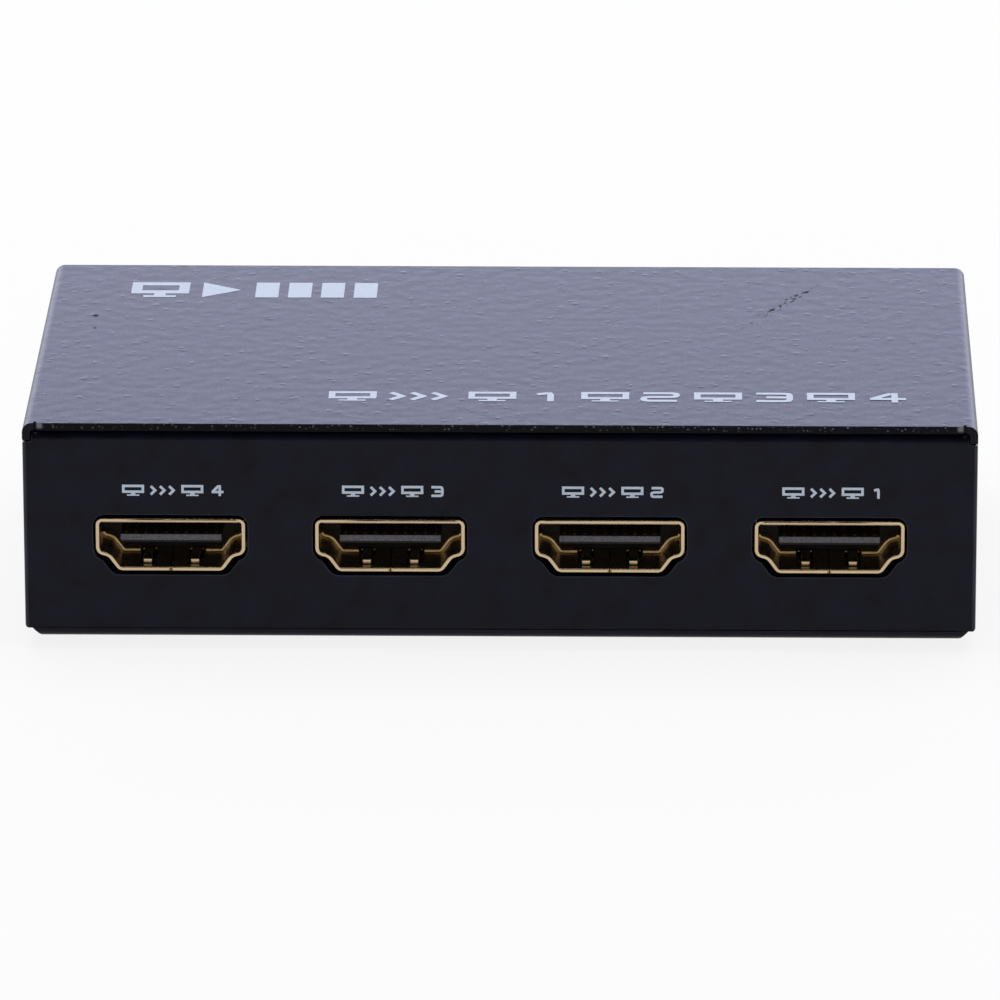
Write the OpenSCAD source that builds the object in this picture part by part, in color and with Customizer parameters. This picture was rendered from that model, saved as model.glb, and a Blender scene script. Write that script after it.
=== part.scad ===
// Four-way video splitter in a folded sheet-steel box.
// Front faces -Y, up is +Z, sizes are in millimetres, the feet stand on z = 0.
// A folded tray carries the board; an upside-down U of sheet closes the top and the sides.

/* [Case] */
// Outside width of the case
case_w = 95; // [93:0.5:115]
// Outside depth of the case
case_d = 54; // [53:0.5:75]
// Outside height of the case without its feet
case_h = 22.5; // [21.5:0.5:32]
// Thickness of the steel sheet
sheet = 0.8; // [0.7:0.05:0.9]
// Outside radius of the folds
fold_r = 1; // [0.95:0.05:1.2]
// Play between the cover and the tray
case_gap = 0.12; // [0.1:0.01:0.2]
// Width of the flanges that the panels turn in under the cover
lip_w = 3; // [2.5:0.25:4]
// Width of the small slits at the cover's front corners
slit_w = 0.3; // [0.2:0.05:0.5]
// Depth of the small slits at the cover's front corners
slit_d = 0.5; // [0.3:0.05:0.7]
// Radius that the press leaves on the upright ends of the panels
end_r = 0.45; // [0.3:0.05:0.6]
// Step cut out of each lower corner of a panel
corner_step = 0.7; // [0.5:0.05:1]
// Height of the tray's side flanges above its floor
flange_h = 14; // [13:0.5:17]

/* [Feet] */
// Height of a rubber foot
foot_h = 1.2; // [1:0.1:3]
// Radius of a rubber foot where it is stuck on
foot_r = 4; // [3:0.25:5]
// Distance from the case's sides to a foot's middle
foot_inset_x = 13; // [11.5:0.5:16]
// Distance from the case's front and rear to a foot's middle
foot_inset_y = 9; // [8.5:0.25:10]

/* [Screws] */
// Radius of the screw shanks
shank_r = 1.45; // [1.3:0.05:1.6]
// Play around a screw shank
shank_gap = 0.05; // [0.04:0.01:0.1]
// Head radius of a side screw
side_head_r = 2.75; // [2.6:0.05:3]
// Height of the side screws above the underside of the tray
side_screw_z = 11.5; // [11:0.25:12.5]
// Distance from the middle of the case to a side screw, along its depth
side_screw_y = 14; // [10:0.5:16]
// Outside radius of a clinch nut
nut_r = 2.8; // [2.5:0.1:3]
// Length of a clinch nut
nut_len = 2; // [1.5:0.1:2.5]
// Outside radius of a board standoff
standoff_r = 2.6; // [2.4:0.1:3]
// Height of a board standoff
standoff_h = 4.4; // [3.6:0.1:5]
// Head radius of a board screw
board_head_r = 2.7; // [2.5:0.1:3]
// Head height of a board screw
board_head_h = 1.8; // [1.5:0.1:2.4]

/* [Board] */
// Thickness of the circuit board
board_t = 1.6; // [1.2:0.2:1.6]
// Space between the board's edges and the steel around it
board_gap = 0.4; // [0.3:0.05:0.8]
// Distance from the board's side edges to its fixing holes
hole_inset = 4; // [3.6:0.2:4.4]
// Distance from the outside of the front panel to the front fixing holes
hole_front = 16; // [15.5:0.25:18]
// Distance from the outside of the rear panel to the rear fixing holes
hole_rear = 6; // [5:0.25:10]

/* [Sockets] */
// Distance from the case's sides to the middle of the outermost outputs
socket_inset = 14.65; // [14:0.05:15.5]
// Position of the input socket across the rear
input_x = 0; // [-2:0.5:1]
// Outside width of a socket shell
shell_w = 15; // [14.7:0.1:15.2]
// Outside height of a socket shell
shell_h = 5.55; // [5.4:0.05:5.8]
// Sheet thickness of a socket shell
shell_t = 0.42; // [0.35:0.01:0.46]
// Length of a socket shell
shell_len = 10.85; // [10.6:0.05:11.5]
// Gap between a socket shell and the board below it
shell_lift = 0.2; // [0.15:0.05:0.4]
// How far a socket's mouth is set back from the face of its panel
mouth_setback = 0.1; // [0.05:0.05:0.3]
// Gap between a socket shell and its cut-out
cut_gap = 0.36; // [0.25:0.01:0.45]
// Gap between a socket shell and the sides of its cut-out
cut_side = 0.2; // [0.15:0.01:0.3]
// Extra width of the cut-out at its lower corners
cut_loose = 0.3; // [0.1:0.05:0.4]
// Width of the tongue inside a socket
tongue_w = 10.05; // [9.9:0.05:10.4]
// Thickness of the tongue inside a socket
tongue_t = 0.9; // [0.8:0.05:1]
// How far the tongue is set back from the mouth
tongue_setback = 1.1; // [0.8:0.1:1.6]
// Width of a contact strip
contact_w = 0.3; // [0.24:0.02:0.36]
// Distance between contact strips in one row
contact_pitch = 1; // [0.95:0.01:1.02]

/* [Power inlet] */
// Distance from the case's side to the middle of the power inlet
jack_inset = 17.5; // [15.5:0.5:19.5]
// Width of the inlet's body
jack_w = 9; // [8.8:0.1:9.6]
// Height of the inlet's body
jack_h = 11; // [10.6:0.1:12]
// Length of the inlet's body behind the panel
jack_len = 13; // [12:0.25:14]
// Height of the inlet's middle above the board
jack_axis = 6.5; // [6.4:0.1:6.8]
// Radius of the inlet's bore
jack_bore_r = 3.15; // [2.9:0.05:3.3]
// Radius of the inlet's nose in the panel
jack_nose_r = 3.9; // [3.8:0.05:4.1]
// Radius of the inlet's middle pin
jack_pin_r = 1.05; // [0.9:0.05:1.25]

/* [Power switch] */
// Distance from the case's side to the middle of the power switch
switch_inset = 30.5; // [29:0.5:31.5]
// Width of the switch
switch_w = 8.6; // [8.4:0.1:9.2]
// Depth of the switch
switch_d = 4.4; // [4.2:0.1:5]
// Height of the switch above the board
switch_h = 5; // [4.8:0.1:5.6]
// Width of the switch's knob
knob_w = 2; // [1.6:0.1:2.2]
// Height of the switch's knob
knob_h = 2; // [1.6:0.1:2.2]
// Travel of the switch's knob
knob_travel = 2; // [1.6:0.1:2.2]
// Play around the switch's moving parts
knob_gap = 0.2; // [0.15:0.01:0.25]

/* [Lamps] */
// Distance from the case's side to the outermost lamp
lamp_inset = 12.5; // [12:0.25:13.5]
// Distance between neighbouring lamps
lamp_pitch = 5; // [4.8:0.05:5.2]
// Radius of a lamp
lamp_r = 1.5; // [1.3:0.05:1.6]
// Height of the lamps above the board
lamp_axis = 4; // [3.8:0.1:5]

/* [Chips] */
// Width of the splitter chip
chip_w = 14; // [12.8:0.2:15]
// Height of the splitter chip
chip_h = 1.4; // [1:0.1:1.8]
// Number of leads on each side of the splitter chip
chip_leads = 16; // [8:1:16]
// Width of the heat sink
sink_w = 21; // [18:0.5:22]
// Height of the heat sink
sink_h = 7.5; // [5:0.25:9]
// Number of fins on the heat sink
fin_count = 7; // [4:1:8]

/* [Hidden] */
$fn = 48;
OUTPUTS = 4;
ARC_STEPS = 8;
EPS = 0.02;
OVER = 1;

base_z = foot_h;
top_z = base_z + case_h;
front_y = -case_d / 2;
rear_y = case_d / 2;
half_w = case_w / 2;
panel_top = top_z - sheet - case_gap;
lip_z = panel_top - fold_r;
inner_fold_r = fold_r - sheet;
fold_z = base_z + fold_r;
floor_z = base_z + sheet;
flange_x = half_w - sheet - case_gap;
flange_in = flange_x - sheet;
flange_inset = sheet + 1.6;
panel_corner_r = 0.35;
step_r = 0.25;
mitre_r = 0.8;
mitre_w = 0.9;
slit_x = half_w - fold_r - slit_w;
standoff_spigot_r = 2;
standoff_bore_r = shank_r + shank_gap;
recess_share = 0.55;
recess_slot = 0.45;
screw_grip = 0.7;
foot_taper = 0.92;

board_z = floor_z + standoff_h;
board_top = board_z + board_t;
board_half = flange_in - board_gap;
board_front = front_y + sheet + board_gap;
board_rear = rear_y - sheet - board_gap;
board_holes = [
  for (s = [-1, 1], y = [front_y + hole_front, rear_y - hole_rear]) [s * (board_half - hole_inset), y]
];
pad_gap = 0.3;

socket_pitch = (case_w - 2 * socket_inset) / (OUTPUTS - 1);
socket_z = board_top + shell_lift;
mouth_y = front_y + mouth_setback;
socket_toe = shell_w / 2 - 2.3;
socket_waist = shell_w / 2 - 1.25;
waist_z = 1.45;
shoulder_z = 1.8;
toe_r = 0.9;
waist_r = 0.8;
shoulder_r = 0.9;
brow_r = 0.75;
seat_gap = 0.03;
tail_room = 0.95;
block_t = 3.6;
block_y1 = shell_len - tail_room;
block_y0 = block_y1 - block_t;
toe_cut = socket_toe + 0.5;
toe_cut_z = 0.95;
toe_cut_y = block_y1 - 0.4;
top_contacts = 10;
low_contacts = 9;
strip_t = 0.15;
strip_out = 0.05;
top_strip_start = 0.5;
low_strip_start = 0.8;
tail_len = 1.5;
tongue_z = shell_t + 2.25;
tongue_nose = 0.06;
leg_w = 1.4;
leg_h = 3;
leg_out = 0.5;
leg_y = [block_y0 - 3.4, block_y1 - 2.3];
spring_x = 2.37;
spring_w = 0.9;
spring_gap = 0.3;
spring_root = block_y0 - 0.1;
spring_tip = 1.3;
spring_knee = spring_tip + 1.6;
spring_rise = 1;
spring_t = 0.3;
spring_tip_z = 0.34;
seam_w = 0.1;
seam_v = 0.3;

jack_x = half_w - jack_inset;
jack_y = rear_y - sheet - 0.1;
jack_back = jack_y - jack_len;
jack_z = board_top + jack_axis;
jack_bore_len = 10.5;
jack_floor = rear_y - mouth_setback - jack_bore_len;
jack_shoulder_r = jack_pin_r + 0.3;
jack_tip_gap = 0.8;
jack_tab_w = 2.4;
jack_tab_t = 0.6;
jack_tab_out = 1.2;
leaf_w = 2.2;
leaf_t = 0.4;
leaf_y = jack_back + 4.4;
leaf_rise = 1.2;
leaf_press = 0.35;
leaf_lead = 0.5;
leaf_knee = jack_y - 4;
leaf_end = leaf_knee + 1;
shunt_y = jack_back + 6.4;
nose_gap = 0.15;

switch_x = half_w - switch_inset;
switch_y = rear_y - sheet - 0.2;
switch_sheet = 0.3;
switch_base_t = 0.8;
switch_lug_pitch = 2.5;
switch_lug_t = 0.25;
switch_pin = 0.6;
switch_pin_out = 1;
wiper_t = 0.2;
wiper_w = 1.4;
slider_z = board_top + switch_base_t + switch_lug_t + knob_gap + wiper_t;
slider_top = board_top + switch_h - switch_sheet - knob_gap;
slider_w = 4.4;
knob_z = (slider_z + slider_top) / 2;
slider_rest = switch_x - knob_travel / 2;
window_w = knob_travel + knob_w + 4 * knob_gap;
window_h = knob_h + 4 * knob_gap;
frame_leg_h = 1;

lamp_x = -half_w + lamp_inset + OUTPUTS * lamp_pitch;
lamp_z = board_top + lamp_axis;
holder_y1 = rear_y - sheet - 0.3;
holder_len = 5;
holder_y0 = holder_y1 - holder_len;
holder_w = 2 * lamp_r + 1.4;
holder_h = lamp_axis + lamp_r + 0.7;
lamp_gap = 0.05;
lamp_rim_r = lamp_r + 0.3;
lamp_rim_t = 1;
lamp_window_gap = 0.1;
lead_t = 0.5;
lead_pitch = 2.54;
lead_back = 1.6;
lead_out = 1;
lead_y = holder_y0 - lead_back;

chip_lift = 0.1;
chip_y = -0.5;
lead_w = 0.35;
chip_lead_t = 0.15;
chip_lead_len = 1;
pad_t = 0.5;
sink_base_t = 1.5;
fin_t = 1;
chip_top = board_top + chip_lift + chip_h;
edge_lead_inset = 1;
right_edge = board_half;
left_edge = -board_half;
part_gap = 1.6;
tail_y = mouth_y + block_y1 + tail_len;
array_size = [2.5, 1, 0.6];
array_x = 2.4;
row_gap = 0.4;
array_y = tail_y + row_gap + array_size.y / 2;
resistor_size = [0.8, 1.6, 0.44];
resistor_pitch = 1.3;
resistor_row = 8;
resistor_y = array_y + array_size.y / 2 + row_gap + resistor_size.y / 2;
row_rear = resistor_y + resistor_size.y / 2;
ceramic_size = [1.6, 0.8, 0.8];
ceramic_pitch = 2.2;
ceramic_row = 6;
ceramic_x = sink_w / 2 + ceramic_pitch;
chip_inset = 23.4;
memory_y = 1;
memory_at = [left_edge + chip_inset, memory_y];
memory_size = [3.9, 4.9, 1.5];
memory_lead_pitch = 1.27;
memory_lead_w = 0.4;
regulator_y = -2;
regulator_at = [right_edge - chip_inset, regulator_y];
regulator_size = [3.5, 6.5, 1.6];
regulator_lead_pitch = 2.3;
regulator_lead_w = 0.7;
regulator_tab_w = 3;
crystal_inset = 14.4;
crystal_at = [left_edge + crystal_inset, memory_y];
crystal_size = [4.6, 11, 3.5];
crystal_round = 0.98;
inductor_size = [7, 7, 4];
inductor_round = 0.3;
inductor_inset = 15.9;
inductor_at = [right_edge - inductor_inset, row_rear + part_gap + inductor_size.y / 2];
capacitor_r = 3.15;
capacitor_h = 7.7;
capacitor_base = 6.6;
capacitor_base_h = 1;
capacitor_pair_y = front_y + hole_front + board_head_r + part_gap + capacitor_base / 2;
capacitor_inset = 7.4;
capacitor_at = [
  [right_edge - capacitor_inset, capacitor_pair_y],
  [right_edge - capacitor_inset, capacitor_pair_y + capacitor_base + part_gap],
  [inductor_at.x, inductor_at.y + (inductor_size.y + capacitor_base) / 2 + 2 * part_gap]
];
diode_y = 7.5;
diode_at = [right_edge - chip_inset, diode_y];
diode_size = [4.3, 2.6, 2.2];

// Outlines with rounded corners

function unit(v) = v / norm(v);

function grown(pts, d) = [
  for (i = [0 : len(pts) - 1])
    let (
      p = pts[(i + len(pts) - 1) % len(pts)],
      q = pts[i],
      s = pts[(i + 1) % len(pts)],
      a = unit(q - p),
      b = unit(s - q),
      na = [a.y, -a.x],
      nb = [b.y, -b.x]
    )
    q + d * (na + nb) / (1 + na * nb)
];

function arc_at(p, q, s, r) =
  let (
    a = unit(p - q),
    b = unit(s - q),
    half = acos(a * b) / 2,
    c = q + unit(a + b) * r / sin(half),
    from = q + a * r / tan(half) - c,
    to = q + b * r / tan(half) - c,
    a0 = atan2(from.y, from.x),
    turn = (atan2(to.y, to.x) - a0 + 540) % 360 - 180
  )
  [for (i = [0 : ARC_STEPS]) let (t = a0 + turn * i / ARC_STEPS) c + r * [cos(t), sin(t)]];

function rounded(pts, radii) = [
  for (i = [0 : len(pts) - 1])
    let (p = pts[(i + len(pts) - 1) % len(pts)], q = pts[i], s = pts[(i + 1) % len(pts)])
    each radii[i] > 0 ? arc_at(p, q, s, radii[i]) : [q]
];

function box_points(x0, y0, x1, y1) = [[x0, y0], [x1, y0], [x1, y1], [x0, y1]];

module along_y(y0, y1) {
  translate([0, y1, 0]) rotate([90, 0, 0]) linear_extrude(height = y1 - y0) children();
}

module along_x(x0, x1) {
  translate([x0, 0, 0]) rotate([90, 0, 90]) linear_extrude(height = x1 - x0) children();
}

module block(x0, x1, y0, y1, z0, z1) {
  translate([x0, y0, z0]) cube([x1 - x0, y1 - y0, z1 - z0]);
}

module rod_y(x, z, y0, y1, r) {
  translate([x, y1, z]) rotate([90, 0, 0]) cylinder(h = y1 - y0, r = r);
}

// Socket outline, from the middle of its lower edge

function socket_points(loose, slim) =
  let (h = shell_w / 2 - slim, toe = socket_toe + loose, waist = socket_waist + loose)
  [
    [-toe, 0], [toe, 0], [waist, waist_z], [h, shoulder_z], [h, shell_h],
    [-h, shell_h], [-h, shoulder_z], [-waist, waist_z]
  ];

function socket_outline(d, loose = 0, slim = 0) =
  let (toe = toe_r + d, waist = waist_r - d, shoulder = shoulder_r + d, brow = brow_r + d)
  rounded(
    grown(socket_points(loose, slim), d),
    [toe, toe, waist, shoulder, brow, brow, shoulder, waist]
  );

// Places: the four outputs run from right to left, the input faces the rear

function output_x(n) = (OUTPUTS / 2 + 0.5 - n) * socket_pitch;

module at_output(n) {
  translate([output_x(n), mouth_y, socket_z]) children();
}

module at_input() {
  translate([input_x, -mouth_y, socket_z]) rotate([0, 0, 180]) children();
}

module at_sockets() {
  for (n = [1 : OUTPUTS]) at_output(n) children();
  at_input() children();
}

// Case

module side_screw_places() {
  for (s = [-1, 1], y = [-side_screw_y, side_screw_y])
    translate([0, y, base_z + side_screw_z]) rotate([0, 0, s > 0 ? 0 : 180]) children();
}

module screw_cone(gap) {
  reach = side_head_r - shank_r;
  translate([half_w, 0, 0]) rotate([0, -90, 0]) {
    cylinder(h = reach, r1 = side_head_r + gap, r2 = shank_r + gap);
    translate([0, 0, -OVER]) cylinder(h = OVER + EPS, r = side_head_r + gap);
    cylinder(h = reach + 2 * sheet + case_gap, r = shank_r + gap);
  }
}

module tray_front_view() {
  w = half_w;
  polygon(rounded(
    [
      [-w + corner_step + mitre_w, base_z], [w - corner_step - mitre_w, base_z],
      [w - corner_step, fold_z], [w, fold_z], [w, lip_z], [flange_x, lip_z], [flange_x, panel_top],
      [-flange_x, panel_top], [-flange_x, lip_z], [-w, lip_z], [-w, fold_z], [-w + corner_step, fold_z]
    ],
    [mitre_r, mitre_r, step_r, panel_corner_r, panel_corner_r, step_r, 0,
     0, step_r, panel_corner_r, panel_corner_r, step_r]
  ));
}

module tray_side_view() {
  t = sheet;
  polygon(rounded(
    [
      [front_y, base_z], [rear_y, base_z], [rear_y, panel_top], [rear_y - lip_w, panel_top],
      [rear_y - lip_w, panel_top - t], [rear_y - t, panel_top - t], [rear_y - t, floor_z],
      [front_y + t, floor_z], [front_y + t, panel_top - t], [front_y + lip_w, panel_top - t],
      [front_y + lip_w, panel_top], [front_y, panel_top]
    ],
    [fold_r, fold_r, fold_r, 0, 0, inner_fold_r, inner_fold_r, inner_fold_r, inner_fold_r, 0, 0, fold_r]
  ));
}

module flange_front_view() {
  x = flange_x;
  polygon(rounded(
    [
      [-x, base_z], [x, base_z], [x, floor_z + flange_h], [flange_in, floor_z + flange_h],
      [flange_in, floor_z], [-flange_in, floor_z], [-flange_in, floor_z + flange_h], [-x, floor_z + flange_h]
    ],
    [fold_r, fold_r, 0, 0, inner_fold_r, inner_fold_r, 0, 0]
  ));
}

module bottom_tray() {
  color([0.1, 0.1, 0.12])
  difference() {
    union() {
      difference() {
        intersection() {
          along_y(front_y, rear_y) tray_front_view();
          along_x(-half_w, half_w) tray_side_view();
          linear_extrude(height = top_z)
            polygon(rounded(box_points(-half_w, front_y, half_w, rear_y), [end_r, end_r, end_r, end_r]));
        }
        for (s = [-1, 1])
          translate([s * half_w, 0, fold_z - OVER])
            cube([2 * (sheet + case_gap + fold_r), case_d - 2 * fold_r, 2 * OVER], center = true);
      }
      along_y(front_y + flange_inset, rear_y - flange_inset) flange_front_view();
    }
    for (n = [1 : OUTPUTS]) at_output(n) socket_cut();
    at_input() socket_cut();
    rod_y(jack_x, jack_z, jack_y, rear_y + OVER, jack_nose_r + nose_gap);
    block(
      switch_x - window_w / 2, switch_x + window_w / 2,
      switch_y, rear_y + OVER, knob_z - window_h / 2, knob_z + window_h / 2
    );
    for (k = [0 : OUTPUTS])
      rod_y(lamp_x - k * lamp_pitch, lamp_z, holder_y1, rear_y + OVER, lamp_r + lamp_window_gap);
    side_screw_places() screw_cone(shank_gap);
    for (p = board_holes)
      translate([p.x, p.y, base_z - OVER]) cylinder(h = sheet + 2 * OVER, r = standoff_spigot_r + seat_gap);
  }
}

module socket_cut() {
  along_y(-OVER, sheet + OVER) polygon(socket_outline(cut_gap, cut_loose, cut_gap - cut_side));
}

module top_cover() {
  w = half_w;
  step_y = sheet + case_gap;
  color([0.13, 0.13, 0.15])
  difference() {
    along_y(front_y, rear_y)
      polygon(rounded(
        [
          [w, fold_z], [w, top_z], [-w, top_z], [-w, fold_z],
          [-w + sheet, fold_z], [-w + sheet, top_z - sheet], [w - sheet, top_z - sheet], [w - sheet, fold_z]
        ],
        [0, fold_r, fold_r, 0, 0, inner_fold_r, inner_fold_r, 0]
      ));
    for (s = [-1, 1]) {
      translate([0, s * case_d / 2, lip_z + case_gap - case_h])
        cube([case_w + OVER, 2 * step_y, 2 * case_h], center = true);
    }
    for (x = [-slit_x, slit_x])
      translate([x, front_y, top_z])
        cube([slit_w, 2 * slit_d, 2 * (sheet + OVER)], center = true);
    side_screw_places() screw_cone(shank_gap);
  }
}

module board_standoffs() {
  color([0.72, 0.72, 0.7])
  for (p = board_holes)
    translate([p.x, p.y, 0])
      difference() {
        union() {
          translate([0, 0, floor_z]) cylinder(h = standoff_h, r = standoff_r);
          translate([0, 0, base_z + EPS]) cylinder(h = sheet + EPS, r = standoff_spigot_r);
        }
        translate([0, 0, base_z - OVER]) cylinder(h = standoff_h + sheet + 2 * OVER, r = standoff_bore_r);
      }
}

module clinch_nuts() {
  color([0.7, 0.7, 0.68])
  side_screw_places()
    translate([flange_in, 0, 0]) rotate([0, -90, 0])
      difference() {
        cylinder(h = nut_len, r = nut_r);
        translate([0, 0, -OVER]) cylinder(h = nut_len + 2 * OVER, r = shank_r + shank_gap);
      }
}

module cross_recess(r, depth) {
  for (a = [0, 90])
    rotate([0, 0, a]) cube([2 * r, recess_slot * r, 2 * depth], center = true);
}

module cover_screws() {
  reach = side_head_r - shank_r;
  color([0.09, 0.09, 0.1])
  side_screw_places()
    translate([half_w, 0, 0]) rotate([0, -90, 0])
      difference() {
        union() {
          cylinder(h = reach, r1 = side_head_r, r2 = shank_r);
          translate([0, 0, reach - EPS])
            cylinder(h = 2 * sheet + case_gap + nut_len - reach + EPS, r = shank_r);
        }
        cross_recess(recess_share * side_head_r, recess_share * reach);
      }
}

module board_screws() {
  color([0.75, 0.75, 0.73])
  for (p = board_holes)
    translate([p.x, p.y, board_top])
      difference() {
        union() {
          cylinder(h = board_head_h, r = board_head_r);
          translate([0, 0, -board_t - screw_grip * standoff_h])
            cylinder(h = board_t + screw_grip * standoff_h + EPS, r = shank_r);
        }
        translate([0, 0, board_head_h])
          cross_recess(recess_share * board_head_r, recess_share * board_head_h);
      }
}

module rubber_feet() {
  color([0.06, 0.06, 0.06])
  for (sx = [-1, 1], sy = [-1, 1])
    translate([sx * (half_w - foot_inset_x), sy * (case_d / 2 - foot_inset_y), 0])
      cylinder(h = foot_h, r1 = foot_taper * foot_r, r2 = foot_r);
}

// Board

module circuit_board() {
  color([0.05, 0.3, 0.16])
  difference() {
    block(-board_half, board_half, board_front, board_rear, board_z, board_top);
    for (p = board_holes)
      translate([p.x, p.y, board_z - OVER]) cylinder(h = board_t + 2 * OVER, r = shank_r + shank_gap);
    at_sockets()
      for (s = [-1, 1], y = leg_y)
        translate([s * (shell_w - shell_t) / 2, y + leg_w / 2, -shell_lift - board_t / 2])
          cube([shell_t + pad_gap, leg_w + pad_gap, board_t + 2 * OVER], center = true);
    jack_slots();
    switch_holes();
    for (k = [0 : OUTPUTS], s = [-1, 1])
      translate([lamp_x - k * lamp_pitch + s * lead_pitch / 2, lead_y + lead_t / 2, board_z - OVER])
        cylinder(h = board_t + 2 * OVER, r = lead_t);
  }
}

module jack_slots() {
  through = board_t + 2 * OVER;
  for (q = [
    [jack_x, jack_back - jack_tab_t / 2, jack_tab_w, jack_tab_t],
    [jack_x, leaf_y + leaf_t / 2, leaf_w, leaf_t],
    [jack_x + jack_w / 2 - jack_tab_t / 2, shunt_y, jack_tab_t, jack_tab_w]
  ])
    translate([q[0], q[1], board_z + board_t / 2])
      cube([q[2] + pad_gap, q[3] + pad_gap, through], center = true);
}

module switch_holes() {
  through = board_t + 2 * OVER;
  for (k = [-1 : 1])
    translate([switch_x + k * switch_lug_pitch, switch_y - switch_d / 2, board_z - OVER])
      cylinder(h = through, r = 0.75 * switch_pin + pad_gap / 2);
  for (s = [-1, 1])
    translate([switch_x + s * (switch_w - switch_sheet) / 2, switch_y - switch_d / 2, board_z + board_t / 2])
      cube([switch_sheet + pad_gap, switch_pin * 2 + pad_gap, through], center = true);
}

// Sockets, drawn with the mouth at y = 0

module socket_shell() {
  color([0.83, 0.7, 0.45])
  union() {
    difference() {
      along_y(0, shell_len) polygon(socket_outline(0));
      along_y(-OVER, shell_len - shell_t) polygon(socket_outline(-shell_t));
      block(-toe_cut, toe_cut, toe_cut_y, shell_len + OVER, -OVER, toe_cut_z);
      block(-seam_w / 2, seam_w / 2, -OVER, shell_len, -OVER, shell_t + EPS);
      for (s = [-1, 1])
        block(
          s * spring_x - spring_w / 2 - spring_gap, s * spring_x + spring_w / 2 + spring_gap,
          spring_tip - spring_gap, spring_root, -OVER, shell_t + EPS
        );
      translate([0, 0, -EPS]) rotate([0, 0, 45])
        cube([seam_v, seam_v, 2 * (shell_t + 2 * EPS)], center = true);
    }
    for (s = [-1, 1])
      along_x(s * spring_x - spring_w / 2, s * spring_x + spring_w / 2)
        polygon([
          [block_y0, 0], [block_y0, shell_t], [spring_knee, spring_rise],
          [spring_tip, spring_tip_z + spring_t], [spring_tip, spring_tip_z],
          [spring_knee, spring_rise - spring_t], [spring_root - spring_gap, 0]
        ]);
    for (s = [-1, 1], y = leg_y)
      translate([s * (shell_w - shell_t) / 2, y + leg_w / 2, (leg_h - shell_lift - board_t - leg_out) / 2])
        cube([shell_t, leg_w, leg_h + shell_lift + board_t + leg_out], center = true);
  }
}

module top_strip() {
  z = tongue_z + tongue_t + strip_out - strip_t;
  contact_shape(z, tongue_setback + top_strip_start);
}

module low_strip() {
  contact_shape(tongue_z - strip_out, tongue_setback + low_strip_start);
}

module contact_shape(z, y0) {
  foot = -shell_lift;
  along_x(-contact_w / 2, contact_w / 2)
    polygon([
      [y0, z], [block_y1, z], [block_y1, foot], [block_y1 + tail_len, foot],
      [block_y1 + tail_len, foot + strip_t], [block_y1 + strip_t, foot + strip_t],
      [block_y1 + strip_t, z + strip_t], [y0, z + strip_t]
    ]);
}

module contact_rows() {
  for (i = [0 : top_contacts - 1])
    translate([(i - (top_contacts - 1) / 2) * contact_pitch, 0, 0]) top_strip();
  for (i = [0 : low_contacts - 1])
    translate([(i - (low_contacts - 1) / 2) * contact_pitch, 0, 0]) low_strip();
}

module socket_contacts() {
  color([0.9, 0.75, 0.4]) union() contact_rows();
}

module socket_insulator() {
  nose = tongue_nose;
  color([0.12, 0.11, 0.1])
  difference() {
    union() {
      along_y(block_y0, block_y1) polygon(socket_outline(-shell_t - seat_gap));
      along_x(-tongue_w / 2, tongue_w / 2)
        polygon([
          [tongue_setback + nose, tongue_z], [block_y0 + EPS, tongue_z],
          [block_y0 + EPS, tongue_z + tongue_t], [tongue_setback + nose, tongue_z + tongue_t],
          [tongue_setback, tongue_z + tongue_t - nose], [tongue_setback, tongue_z + nose]
        ]);
    }
    contact_rows();
  }
}

// Power inlet

module dc_jack_body() {
  leaf_room = leaf_w / 2 + pad_gap / 2;
  color([0.08, 0.08, 0.08])
  difference() {
    union() {
      block(jack_x - jack_w / 2, jack_x + jack_w / 2, jack_back, jack_y, board_top, board_top + jack_h);
      rod_y(jack_x, jack_z, jack_y - EPS, rear_y - mouth_setback, jack_nose_r);
    }
    rod_y(jack_x, jack_z, jack_floor, rear_y + OVER, jack_bore_r);
    rod_y(jack_x, jack_z, jack_back - OVER, jack_y, jack_shoulder_r + seat_gap);
    block(
      jack_x - leaf_room, jack_x + leaf_room, leaf_y - pad_gap, jack_y - 2,
      board_top - OVER, jack_z - 0.6 * jack_bore_r
    );
    block(
      jack_x + jack_w / 2 - jack_tab_t - pad_gap / 2, jack_x + jack_w / 2 + OVER,
      shunt_y - jack_tab_w / 2 - pad_gap / 2, shunt_y + jack_tab_w / 2 + pad_gap / 2,
      board_top - OVER, jack_z
    );
  }
}

module dc_jack_pin() {
  tip = rear_y - mouth_setback - jack_tip_gap;
  lead = 0.4;
  color([0.8, 0.78, 0.72])
  union() {
    rod_y(jack_x, jack_z, jack_back - jack_tab_t / 2, jack_floor, jack_shoulder_r);
    rod_y(jack_x, jack_z, jack_floor - EPS, tip - lead, jack_pin_r);
    translate([jack_x, tip - lead, jack_z]) rotate([-90, 0, 0])
      cylinder(h = lead, r1 = jack_pin_r, r2 = jack_pin_r - lead);
    block(
      jack_x - jack_tab_w / 2, jack_x + jack_tab_w / 2, jack_back - jack_tab_t, jack_back,
      board_z - jack_tab_out, jack_z + jack_pin_r
    );
  }
}

module dc_jack_spring() {
  tab = board_z - jack_tab_out;
  low = board_top + leaf_rise;
  touch = jack_z - jack_bore_r + leaf_press;
  color([0.8, 0.78, 0.7])
  along_x(jack_x - leaf_w / 2, jack_x + leaf_w / 2)
    polygon([
      [leaf_y, tab], [leaf_y + leaf_t, tab], [leaf_y + leaf_t, low], [leaf_knee, touch - leaf_t],
      [leaf_end, touch - leaf_t - leaf_lead], [leaf_end, touch - leaf_lead], [leaf_knee, touch],
      [leaf_y, low + leaf_t]
    ]);
}

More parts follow.
